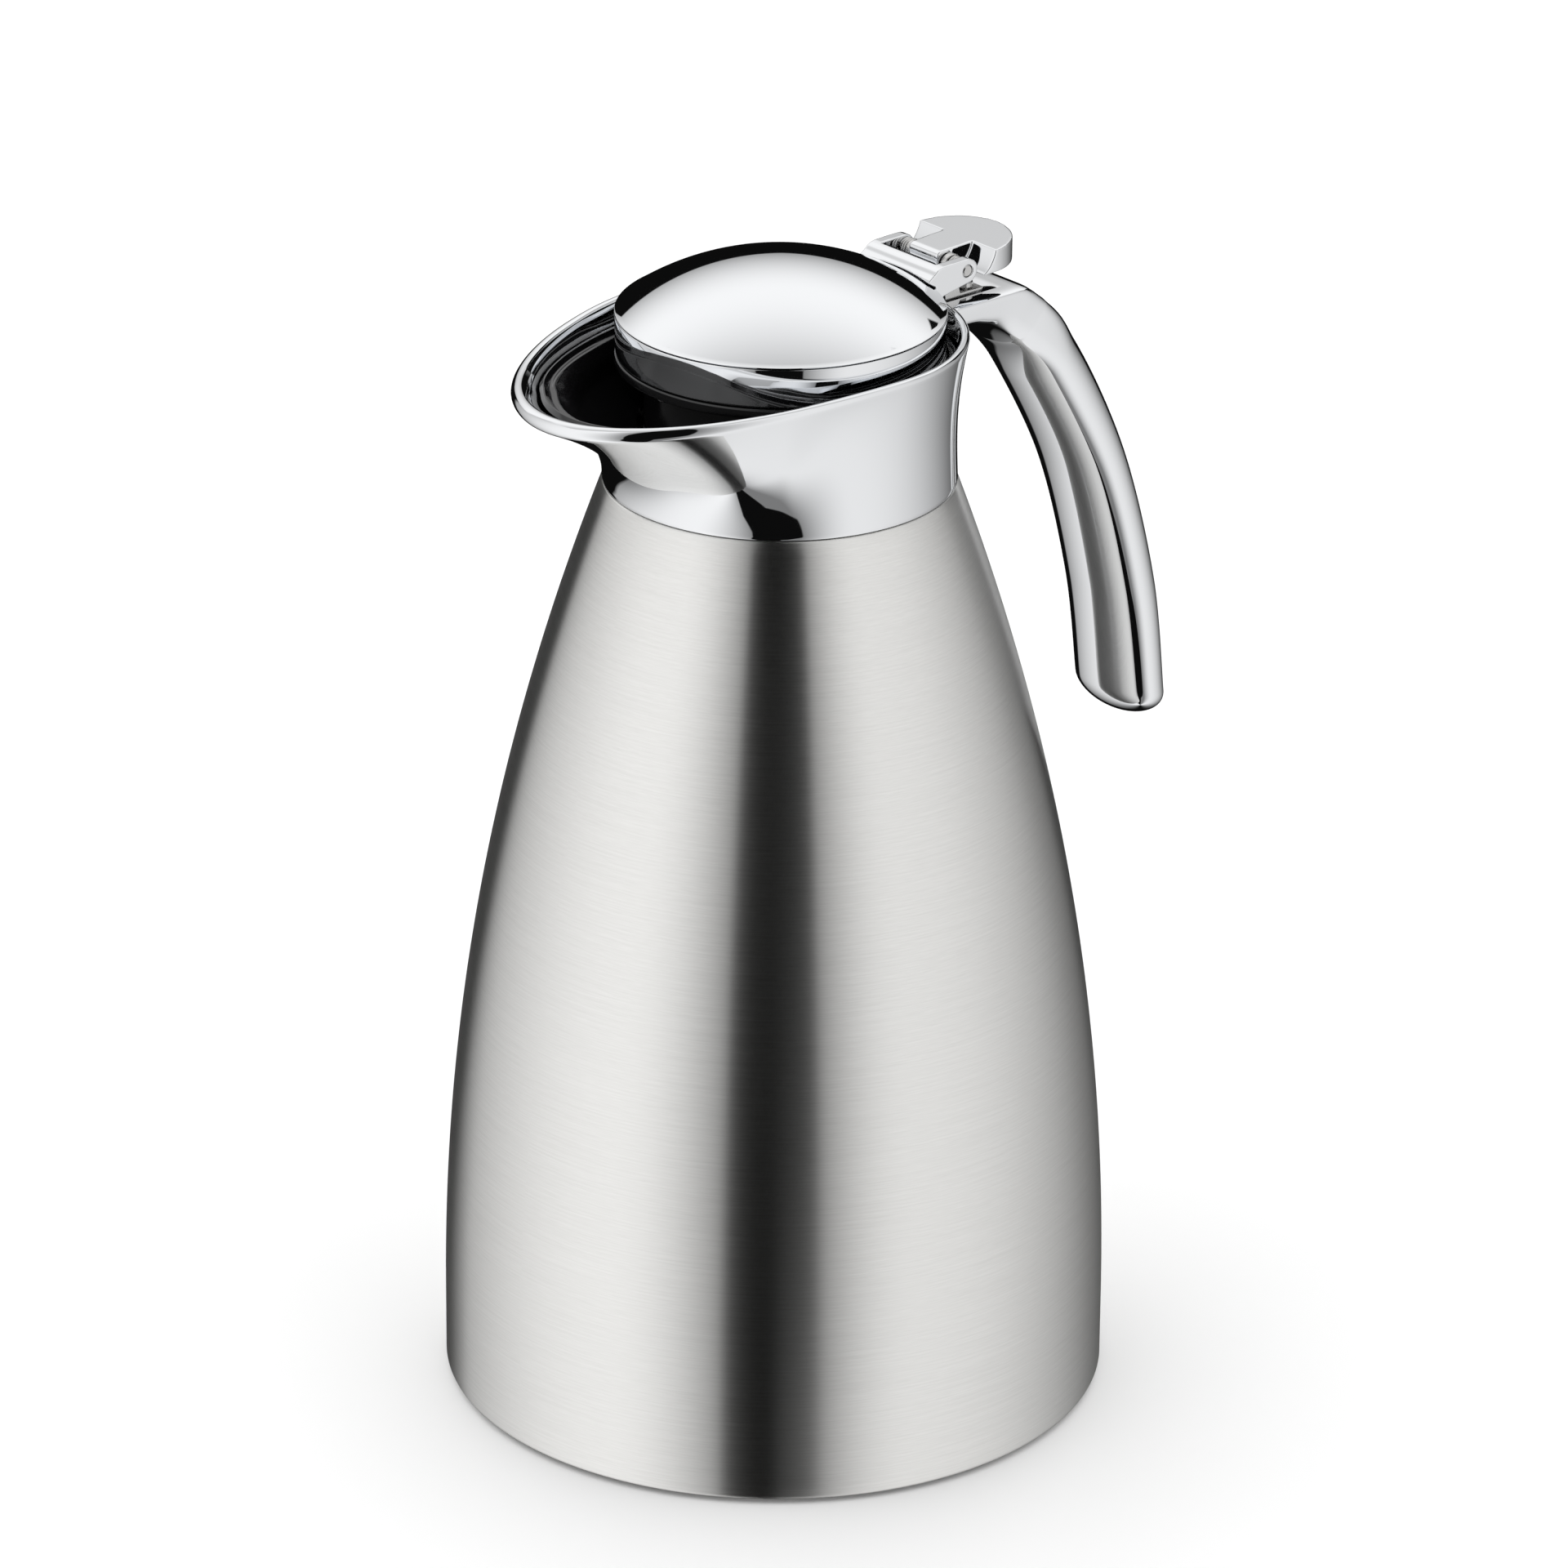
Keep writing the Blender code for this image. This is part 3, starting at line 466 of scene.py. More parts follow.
def cast(target, voxel, rounds):
    """Melt a sharp solid into one skin with softly rounded edges, as a polished casting has."""
    remesh = target.modifiers.new("skin", "REMESH")
    remesh.mode = "VOXEL"
    remesh.voxel_size = voxel * MM
    melt = target.modifiers.new("melt", "SMOOTH")
    melt.factor = 0.5
    melt.iterations = rounds
    apply_modifiers(target)
    target.data.shade_smooth()


def smooth_step(value):
    value = min(1.0, max(0.0, value))
    return value * value * (3.0 - 2.0 * value)


def catmull_rom(points, steps):
    """A smooth curve through the given points."""
    padded = [points[0]] + list(points) + [points[-1]]
    curve = []
    for index in range(len(points) - 1):
        before, start, end, after = padded[index:index + 4]
        for step in range(steps):
            t = step / steps
            curve.append(tuple(
                0.5 * (2 * b + (c - a) * t + (2 * a - 5 * b + 4 * c - d) * t * t
                       + (3 * b - a - 3 * c + d) * t ** 3)
                for a, b, c, d in zip(before, start, end, after)))
    curve.append(tuple(points[-1]))
    return curve


# ---------------------------------------------------------------- body, base and flask

def body_radius(height):
    """Outer radius of the steel body at a height."""
    along = max(0.0, height - CURVE_START) / (SHELL_TOP - CURVE_START)
    return BASE_RADIUS - (BASE_RADIUS - NECK_RADIUS) * along ** CURVE_POWER


def make_body_shell():
    foot_roll = 1.0
    steps = 72
    rise = [SHELL_FOOT + foot_roll + (SHELL_TOP - 0.25 - SHELL_FOOT - foot_roll) * i / steps
            for i in range(steps + 1)]
    outside = [(body_radius(z), z) for z in rise]
    top = body_radius(SHELL_TOP)
    lip = [(top - 0.08, SHELL_TOP - 0.07), (top - 0.25, SHELL_TOP), (top - SHELL_WALL, SHELL_TOP)]
    inside = [(body_radius(z) - SHELL_WALL, z) for z in reversed(rise[::4])]
    roll = [(BASE_RADIUS - foot_roll + foot_roll * math.cos(a),
             SHELL_FOOT + foot_roll - foot_roll * math.sin(a))
            for a in (math.radians(d) for d in (75, 60, 45, 30, 15))]
    foot = [(BASE_RADIUS - SHELL_WALL - 0.2, SHELL_FOOT)]
    shell = turned("steel_body", outside + lip + inside + foot + roll, STEEL, ring=True)
    stand_for(shell, "pot", "brushed_steel", "body_shell")


def make_base():
    low, high = extent("base_foot_pad")
    pad_radius = high.x
    grooves = []
    for radius in (20.0, 32.0, 44.0):
        grooves += [(radius - 0.8, low.z), (radius - 0.5, 0.5), (radius + 0.5, 0.5), (radius + 0.8, low.z)]
    pad = [(0.0, low.z)] + grooves + rounded(
        [(pad_radius - 6.0, low.z), (pad_radius, low.z), (pad_radius, high.z), (pad_radius - 6.0, high.z)],
        0.5, closed=False) + [(0.0, high.z)]
    stand_for(turned("foot_pad", pad, SILICONE, segments=MEDIUM), "pot", "silicone", "base_foot_pad")
    low, high = extent("base_cap")
    outer = high.x
    cap = [(0.0, low.z)] + rounded(
        [(outer - 1.0, low.z), (outer, low.z), (outer, high.z), (outer - 2.5, high.z), (outer - 2.5, 4.4),
         (22.0, 4.4), (22.0, 10.0), (19.5, 10.0), (19.5, 4.4)], 0.4, closed=False) + [(0.0, 4.4)]
    stand_for(turned("base_cover", cap, MATT, segments=MEDIUM), "pot", "black_plastic", "base_cap")
    low, high = extent("shell_base_ring")
    outer = high.x
    inner = 60.0
    ring = rounded([(outer, low.z), (outer, high.z), (outer - 1.2, high.z), (outer - 1.2, 3.2), (inner, 3.2),
                    (inner, low.z)], 0.4)
    stand_for(turned("base_ring", ring, TURNED, ring=True, segments=MEDIUM), "pot", "bright_steel",
              "shell_base_ring")


def flask_radius(height, inset, bottom):
    rise = min(1.0, (height - bottom) / 14.0)
    return (body_radius(height) - inset) * (1.0 - (1.0 - rise) ** 3) ** (1.0 / 3.0)


def flask_wall(inset, bottom, top):
    low = [bottom + 14.0 * (step / 12) ** 2 for step in range(12)]
    high = [bottom + 14.0 + (top - bottom - 14.0) * step / 24 for step in range(25)]
    return [(flask_radius(z, inset, bottom), z) for z in low + high]


def make_flask():
    """Two silvered walls; the inner one ends in a rounded mouth."""
    glass = 1.2
    mouth = 26.2
    top = extent("flask_inner_wall")[1].z
    inner = flask_wall(8.3, 19.0, 189.0) + rounded(
        [(mouth + glass, top - 2.0), (mouth + glass, top), (mouth, top), (mouth, top - 2.0)],
        0.5, closed=False)
    inner += flask_wall(8.3 + glass, 19.0 + glass, 189.0)[::-1]
    inner_wall = turned("flask_inner", inner, GLASS, segments=MEDIUM)
    stand_for(inner_wall, "pot", "silvered_glass", "flask_inner_wall")
    lip = [(mouth + glass + 1.4, top - 1.0), (mouth + glass + 0.4, top - 1.0)]
    outer = flask_wall(3.0, 14.0, 192.0) + lip + flask_wall(3.0 + glass, 14.0 + glass, 191.4)[::-1]
    outer_wall = turned("flask_outer", outer, GLASS, segments=MEDIUM)
    stand_for(outer_wall, "pot", "silvered_glass", "flask_outer_wall")


# ---------------------------------------------------------------- collar and liner

def rim_radius(angle):
    along, across = math.cos(angle), math.sin(angle)
    if along >= 0.0:
        return REAR_RIM_RADIUS
    return 1.0 / math.hypot(along / SPOUT_REACH, across / REAR_RIM_RADIUS)


def spout_share(angle):
    return (rim_radius(angle) - REAR_RIM_RADIUS) / (SPOUT_REACH - REAR_RIM_RADIUS)


def rim_height(angle):
    reach = max(0.0, -rim_radius(angle) * math.cos(angle)) / SPOUT_REACH
    return REAR_RIM_HEIGHT - SPOUT_DROP * reach ** SPOUT_DROP_POWER


def flare(rise, share):
    """Share of the rim's overhang at a rise: a late curl behind, a cone with a curved foot at the spout."""
    rise = max(0.0, rise)
    foot = min(1.0, CONE_FOOT + CONE_FOOT_GROWTH * (share - CONE_SHARE) ** 2)
    curved = min(rise, foot)
    cone = (curved * curved / (2 * foot) + rise - curved) / (1.0 - foot / 2)
    blend = smooth_step(share / 0.25)
    return (1.0 - blend) * rise ** REAR_FLARE_POWER + blend * cone


def collar_outside(angle, rise):
    """(radius, height) on the collar's outer face, rise 0 at the seam and 1 at the rim."""
    share = spout_share(angle)
    radius = NECK_RADIUS - COLLAR_WAIST * (1.0 - share) * math.sin(math.pi * rise)
    radius += (rim_radius(angle) - NECK_RADIUS) * flare(rise, share)
    return Vector((radius, COLLAR_BOTTOM + (rim_height(angle) - COLLAR_BOTTOM) * rise))


def collar_frame(angle, rise):
    """Point, outward normal and upward tangent of the collar's outer profile."""
    step = 0.005
    tangent = (collar_outside(angle, rise + step) - collar_outside(angle, rise - step)).normalized()
    return collar_outside(angle, rise), Vector((tangent.y, -tangent.x)), tangent


def lip_thickness(angle):
    return REAR_LIP + (SPOUT_LIP - REAR_LIP) * spout_share(angle)


def collar_depth(angle, rise):
    return COLLAR_WALL + (lip_thickness(angle) - COLLAR_WALL) * smooth_step((rise - 0.8) / 0.2)


def inward(angle, rise, depth):
    point, normal, _ = collar_frame(angle, rise)
    return point - normal * depth


def loop(point_at, segments=FINE):
    points = []
    for index in range(segments):
        angle = math.tau * index / segments
        radius, height = point_at(angle)
        points.append((radius * math.cos(angle), radius * math.sin(angle), height))
    return points


def lip_point(angle, turn):
    point, normal, tangent = collar_frame(angle, 1.0)
    half = lip_thickness(angle) / 2
    around = math.radians(turn)
    return point - normal * half + (normal * math.cos(around) + tangent * math.sin(around)) * half


def make_collar():
    rises = [0.01 + 0.99 * step / 44 for step in range(45)]
    edge = [loop(lambda a, d=d, z=z: (NECK_RADIUS - d, COLLAR_BOTTOM + z)) for d, z in
            ((COLLAR_WALL, 0.0), (0.3, 0.0), (0.08, 0.08))]
    outside = [loop(lambda a, r=r: collar_outside(a, r)) for r in rises]
    lip = [loop(lambda a, t=t: lip_point(a, t)) for t in range(12, 180, 12)]
    inside = [loop(lambda a, r=r: inward(a, r, collar_depth(a, r))) for r in reversed(rises[::2])]
    collar = skinned("chrome_collar", edge + outside + lip + inside, CHROME, ring=True)
    stand_for(collar, "pot", "chrome", "spout_collar")


def liner_top(angle):
    return 0.86 + 0.05 * spout_share(angle)


def liner_point(angle, share, depth):
    funnel_rise = 0.58
    rise = funnel_rise + (liner_top(angle) - funnel_rise) * share
    return inward(angle, rise, collar_depth(angle, rise) + GAP + depth)


def liner_depth(angle, share):
    """Wall thickness of the liner, with a ledge along the spout."""
    ledge = LINER_LEDGE * smooth_step(spout_share(angle) / 0.3)
    return LINER_WALL + ledge * smooth_step((0.86 - share) / 0.08) * smooth_step(share / 0.5)


def make_liner():
    """Black liner with a rounded upper ledge, the stopper's seat and the throat."""
    shares = [step / 14 for step in range(11)] + [0.75, 0.78, 0.8, 0.82, 0.84, 0.86, 0.92, 0.985]
    outside = [loop(lambda a, s=s: liner_point(a, s, 0.1)) for s in shares]
    ledge = [loop(lambda a, s=s, d=d: liner_point(a, s, d)) for s, d in
             ((1.0, 0.25), (1.0, LINER_WALL - 0.25))]
    inside = [loop(lambda a, s=s: liner_point(a, s, liner_depth(a, s))) for s in reversed(shares)]
    wall = 1.7
    funnel = rounded([(SEAT_RADIUS + 0.6, SEAT_HEIGHT + 3.0), (SEAT_RADIUS, SEAT_HEIGHT),
                      (THROAT_RADIUS, SEAT_HEIGHT), (THROAT_RADIUS, LINER_BOTTOM), (33.2, LINER_BOTTOM),
                      (33.2, LINER_BOTTOM + wall), (SEAT_RADIUS + wall, LINER_BOTTOM + wall),
                      (SEAT_RADIUS + wall + 0.8, SEAT_HEIGHT + 3.0)], 0.35, closed=False)
    lower = [loop(lambda a, p=p: p) for p in funnel]
    liner = skinned("black_liner", outside + ledge + inside + lower, BLACK, ring=True)
    stand_for(liner, "pot", "black_plastic", "collar_liner")


# ---------------------------------------------------------------- handle

def handle_sides():
    outer_arm = [(ARM_START + (54.4 - ARM_START) * i / 12, ARM_TOP) for i in range(13)]
    crest = [(55.6, 223.68), (56.7, 223.5), (57.7, 223.05), (59.2, 222.0)]
    outer_bar = catmull_rom([(62.0, 219.8), (73.7, 208.4), (87.6, 182.0), (97.1, 151.0), (100.7, 124.3)], 18)
    inner_arm = catmull_rom([(ARM_START, 218.1), (38.5, 217.9), (42.0, 217.6), (46.5, 216.2)], 4)
    inner_crest = catmull_rom([(48.0, 215.4), (50.0, 214.0), (51.6, 212.6)], 2)[:4]
    inner_bar = catmull_rom([(53.8, 210.8), (61.6, 200.9), (75.2, 176.3), (83.6, 148.6), (87.2, 125.8)], 18)
    return outer_arm + crest + outer_bar, inner_arm + inner_crest + inner_bar


def handle_section(outer, inner, half_width, powers, scale=1.0, points=72):
    """A rounded section between an outer and an inner point, boxy where the powers are high."""
    outer, inner = Vector((outer[0], 0, outer[1])), Vector((inner[0], 0, inner[1]))
    centre, reach = (outer + inner) / 2, (outer - inner) / 2
    section = []
    for index in range(points):
        angle = math.tau * (index + 0.5) / points
        across, along = math.cos(angle), math.sin(angle)
        power = powers[0] if along > 0 else powers[1]
        y = half_width * math.copysign(abs(across) ** (2 / power), across) * scale
        share = math.copysign(abs(along) ** (2 / power), along) * scale
        section.append(centre + reach * share + Vector((0, y, 0)))
    return section


def collar_plug(name, offset):
    """The collar's outer shape as a solid plug, grown by an offset."""
    rises = [-0.3 + 1.45 * step / 30 for step in range(31)]
    return skinned(name, [loop(lambda a, r=r: inward(a, r, -offset), 128) for r in rises], None)


def make_handle():
    outer, inner = handle_sides()
    sections = []
    arm_sections = 13
    for index, (out, inn) in enumerate(zip(outer, inner)):
        blend = smooth_step((index - arm_sections + 4) / 26)
        half_width = ARM_HALF_WIDTH + (BAR_HALF_WIDTH - ARM_HALF_WIDTH) * blend
        powers = [arm + (bar - arm) * blend for arm, bar in zip((ARM_POWER, ARM_LOW_POWER), BAR_POWERS)]
        sections.append(handle_section(out, inn, half_width, powers))
    down = (Vector((outer[-1][0], 0, outer[-1][1])) - Vector((outer[-2][0], 0, outer[-2][1]))).normalized()
    end_depth = 6.5
    for step in range(1, 19):
        turn = math.radians(90 * step / 18.4)
        end = handle_section(outer[-1], inner[-1], BAR_HALF_WIDTH, BAR_POWERS, math.cos(turn))
        sections.append([point + down * end_depth * math.sin(turn) for point in end])
    handle = skinned("chrome_handle", sections, CHROME)
    combine(handle, collar_plug("collar_cut", GAP))
    pocket = extruded("pocket_cut", [
        (ARM_START - 1.0, POCKET_FLOOR), (46.5, POCKET_FLOOR), (POCKET_END, ARM_TOP + 0.2),
        (POCKET_END, ARM_TOP + 3.0), (ARM_START - 1.0, ARM_TOP + 3.0)],
        -POCKET_HALF_WIDTH, POCKET_HALF_WIDTH, None)
    combine(handle, pocket)
    handle.data.shade_smooth()
    handle.data.set_sharp_from_angle(angle=math.radians(40.0))
    stand_for(handle, "pot", "chrome", "handle")


# ---------------------------------------------------------------- hinge

def pin_hole(radius):
    return rod("hole", (PIN_X, -20.0, PIN_Z), (0, 1, 0), [(0.0, radius), (40.0, radius)], None)


def make_pin():
    chamfer = 0.25
    pin = rod("pivot_pin", (PIN_X, -PIN_HALF, PIN_Z), (0, 1, 0),
              [(0.0, PIN_RADIUS - chamfer), (chamfer, PIN_RADIUS), (2 * PIN_HALF - chamfer, PIN_RADIUS),
               (2 * PIN_HALF, PIN_RADIUS - chamfer)], TURNED)
    stand_for(pin, "pot", "bright_steel", "hinge_pin")


def make_thumb_lever():
    """Rounded paddle with scooped shoulders that hug the ears, and a flat neck with a nose."""
    radius, centre, bottom, top = 11.5, 45.8, 229.4, 233.8
    front = PIN_X + 1.0
    outline = [(front, -radius + 0.6), (front + 0.6, -radius), (centre, -radius)]
    outline += arc((centre, 0.0), radius, -86, 86, 64)
    outline += [(centre, radius), (front + 0.6, radius), (front, radius - 0.6)]
    lever = extruded("chrome_lever", outline, bottom, top, CHROME, axis="Z")
    for sign in (-1, 1):
        near, far = sorted((sign * (NECK_HALF_WIDTH + 0.1), sign * 14.0))
        combine(lever, rod("scoop", (39.8, near, 235.3), (0, 1, 0), [(0.0, 6.9), (far - near, 6.9)],
                           None, segments=160))
    combine(lever, extruded("neck", [
        (35.2, 227.9), (38.4, 227.9), (40.0, 228.0), (43.5, 229.4), (47.0, 229.4), (50.0, 229.6), (50.0, top),
        (38.2, top), (37.4, 233.3), (37.2, 232.6), (37.2, 229.7), (35.2, 229.5)],
        -NECK_HALF_WIDTH, NECK_HALF_WIDTH, None), "UNION")
    for vertex in lever.data.vertices:
        share = smooth_step((vertex.co.z / MM - 229.0) / 3.0)
        vertex.co.z += LEVER_SLOPE * (vertex.co.x - PIN_X * MM) * share
    combine(lever, pin_hole(1.45))
    cast(lever, 0.16, 16)
    stand_for(lever, "lever", "chrome", "thumb_lever")


# ---------------------------------------------------------------- lid

def dome_centre():
    rise = DOME_APEX - (BAND_TOP + GAP)
    radius = (LID_RADIUS ** 2 + rise ** 2) / (2 * rise)
    return DOME_APEX - radius, radius


def dome_profile(offset, edge_radius, steps):
    centre, radius = dome_centre()
    return [(edge_radius * i / steps,
             centre + math.sqrt((radius + offset) ** 2 - (edge_radius * i / steps) ** 2))
            for i in range(steps + 1)]


def lid_plug():
    profile = [(0.0, 215.0), (LID_RADIUS + GAP, 215.0)] + dome_profile(GAP, LID_RADIUS + GAP, 24)[::-1]
    return turned("lid_plug", profile, None)


def make_lid():
    inner = LID_RADIUS - 1.2
    band = rounded([(LID_RADIUS - BAND_TAPER, BAND_BOTTOM), (LID_RADIUS, BAND_TOP),
                    (inner, BAND_TOP), (inner, BAND_BOTTOM)], 0.3, 6)
    stand_for(turned("chrome_band", band, CHROME, ring=True), "lid", "chrome", "lid_band")
    skirt = inner - GAP
    dome = dome_profile(0.0, LID_RADIUS - 0.25, 48)
    edge = BAND_TOP + GAP
    dome += [(LID_RADIUS - 0.06, edge + 0.12), (LID_RADIUS - 0.02, edge + 0.04), (LID_RADIUS - 0.25, edge),
             (skirt, edge), (skirt, BAND_TOP - 3.0), (skirt - 1.0, BAND_TOP - 3.0)]
    dome += dome_profile(-0.9, skirt - 1.0, 24)[::-1]
    stand_for(turned("chrome_dome", dome, CHROME, smooth_angle=30.0), "lid", "chrome", "lid_dome")


def make_stopper():
    """Black stopper: rounded flange, stepped body and tapering plug."""
    flange_bottom = 218.7
    wall = 2.0
    outside = rounded([
        (17.0, STOPPER_BOTTOM), (22.0, SEAT_HEIGHT - 1.0), (22.0, 205.3), (27.0, 205.3),
        (27.0, flange_bottom),
        (LID_RADIUS, flange_bottom), (LID_RADIUS, STOPPER_TOP), (27.0 - wall, STOPPER_TOP),
        (27.0 - wall, 205.3 + wall), (22.0 - wall, 205.3 + wall), (22.0 - wall, SEAT_HEIGHT - 1.0),
        (17.0 - wall, STOPPER_BOTTOM + wall)], 0.5, closed=False)
    profile = [(0.0, STOPPER_BOTTOM)] + outside + [(0.0, STOPPER_BOTTOM + wall)]
    stand_for(turned("black_stopper", profile, BLACK, segments=192), "lid", "black_plastic", "stopper_body")
    gasket = rounded([(22.2, 203.7), (26.6, 203.7), (27.0, 204.2), (27.0, 205.1), (22.2, 205.1)], 0.3)
    stand_for(turned("seal_ring", gasket, SILICONE, ring=True, segments=MEDIUM), "lid", "silicone",
              "stopper_gasket")


def make_bracket():
    """Bullnosed crossbar over the dome's rear edge, a recess behind it and two ears on the pin."""
    crossbar_back = 36.2
    nose = catmull_rom([(29.4, 230.7), (29.9, 231.2), (30.9, 231.9), (32.2, 232.9), (33.6, 233.3)], 6)
    outline = nose + [(36.0, 233.35)] + arc((PIN_X, PIN_Z), EAR_RADIUS, 90, -90, 32)
    outline += [(33.6, 227.1), (32.0, 225.4), (29.4, 225.4)]
    bracket = extruded("chrome_bracket", outline, -EAR_OUTER, EAR_OUTER, CHROME)
    combine(bracket, lid_plug())
    combine(bracket, block("window", (crossbar_back, -EAR_INNER, 220.0), (50.0, EAR_INNER, 240.0)))
    combine(bracket, block("recess", (33.4, -EAR_INNER, 231.0), (37.0, EAR_INNER, 240.0)))
    combine(bracket, block("relief", (34.9, -EAR_INNER, 220.0), (40.0, EAR_INNER, 230.0)))
    combine(bracket, pin_hole(1.3))
    cast(bracket, 0.13, 8)
    stand_for(bracket, "lid", "chrome", "lid_bracket")


def make_springs_and_block():
    """Fine versions of the two coil springs and the block with the pin's lugs."""
    wire, coil_radius, turns, pitch, sides, per_turn = 0.28, 1.85, 2.4, 0.66, 16, 64
    for side, sign in (("left", 1), ("right", -1)):
        start = (LUG_OUTER + EAR_INNER - turns * pitch) / 2
        loops = []
        for step in range(int(turns * per_turn) + 1):
            angle = math.tau * step / per_turn
            outward = Vector((math.cos(angle), 0, math.sin(angle)))
            middle = Vector((PIN_X, sign * (start + pitch * step / per_turn), PIN_Z)) + outward * coil_radius
            around = [math.tau * side_step / sides for side_step in range(sides)]
            loops.append([middle + (outward * math.cos(a) + Vector((0, math.sin(a), 0))) * wire
                          for a in around])
        spring = skinned(f"coil_spring_{side}", loops, TURNED)
        stand_for(spring, "pot", "bright_steel", f"return_spring_{side}")
    foot_top = 224.4
    outline = [(38.3, POCKET_FLOOR + GAP), (47.0, POCKET_FLOOR + GAP), (48.4, foot_top), (42.2, foot_top)]
    outline += arc((PIN_X, PIN_Z), LUG_RADIUS, -60, 180, 48)
    lugs = extruded("pin_block", outline, -LUG_OUTER, LUG_OUTER, TURNED)
    combine(lugs, block("slot", (30.0, -LUG_INNER, foot_top), (60.0, LUG_INNER, 240.0)))
    combine(lugs, pin_hole(1.3))
    for sign in (-1, 1):
        combine(lugs, rod("bore", (45.4, sign * 3.2, 220.0), (0, 0, 1), [(0.0, 1.3), (8.0, 1.3)], None))
    cast(lugs, 0.12, 5)
    stand_for(lugs, "pot", "bright_steel", "hinge_block")


# ---------------------------------------------------------------- carried CAD nodes

def dress_small_nodes():
    """The small turned pieces keep their CAD shape and get their real finish."""
    finishes = {
        TURNED: ("hinge_block_screw_left", "hinge_block_screw_right", "handle_screw_left",
                 "handle_screw_right", "bracket_screw_left",
                 "bracket_screw_right", "stopper_screw_1", "stopper_screw_2", "stopper_screw_3"),
        SILICONE: ("mouth_seal", "base_cushion"),
        FOAM: ("flask_spacer_1", "flask_spacer_2", "flask_spacer_3", "lid_insulation"),
    }
    for surface, nodes in finishes.items():
        for node in nodes:
            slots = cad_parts[node].material_slots
            for slot in slots:
                slot.material = surface


# ---------------------------------------------------------------- studio

CAMERA_AZIMUTH = math.radians(-41.0)


PANEL_FALL = 1.75      # how fast a panel's light falls off


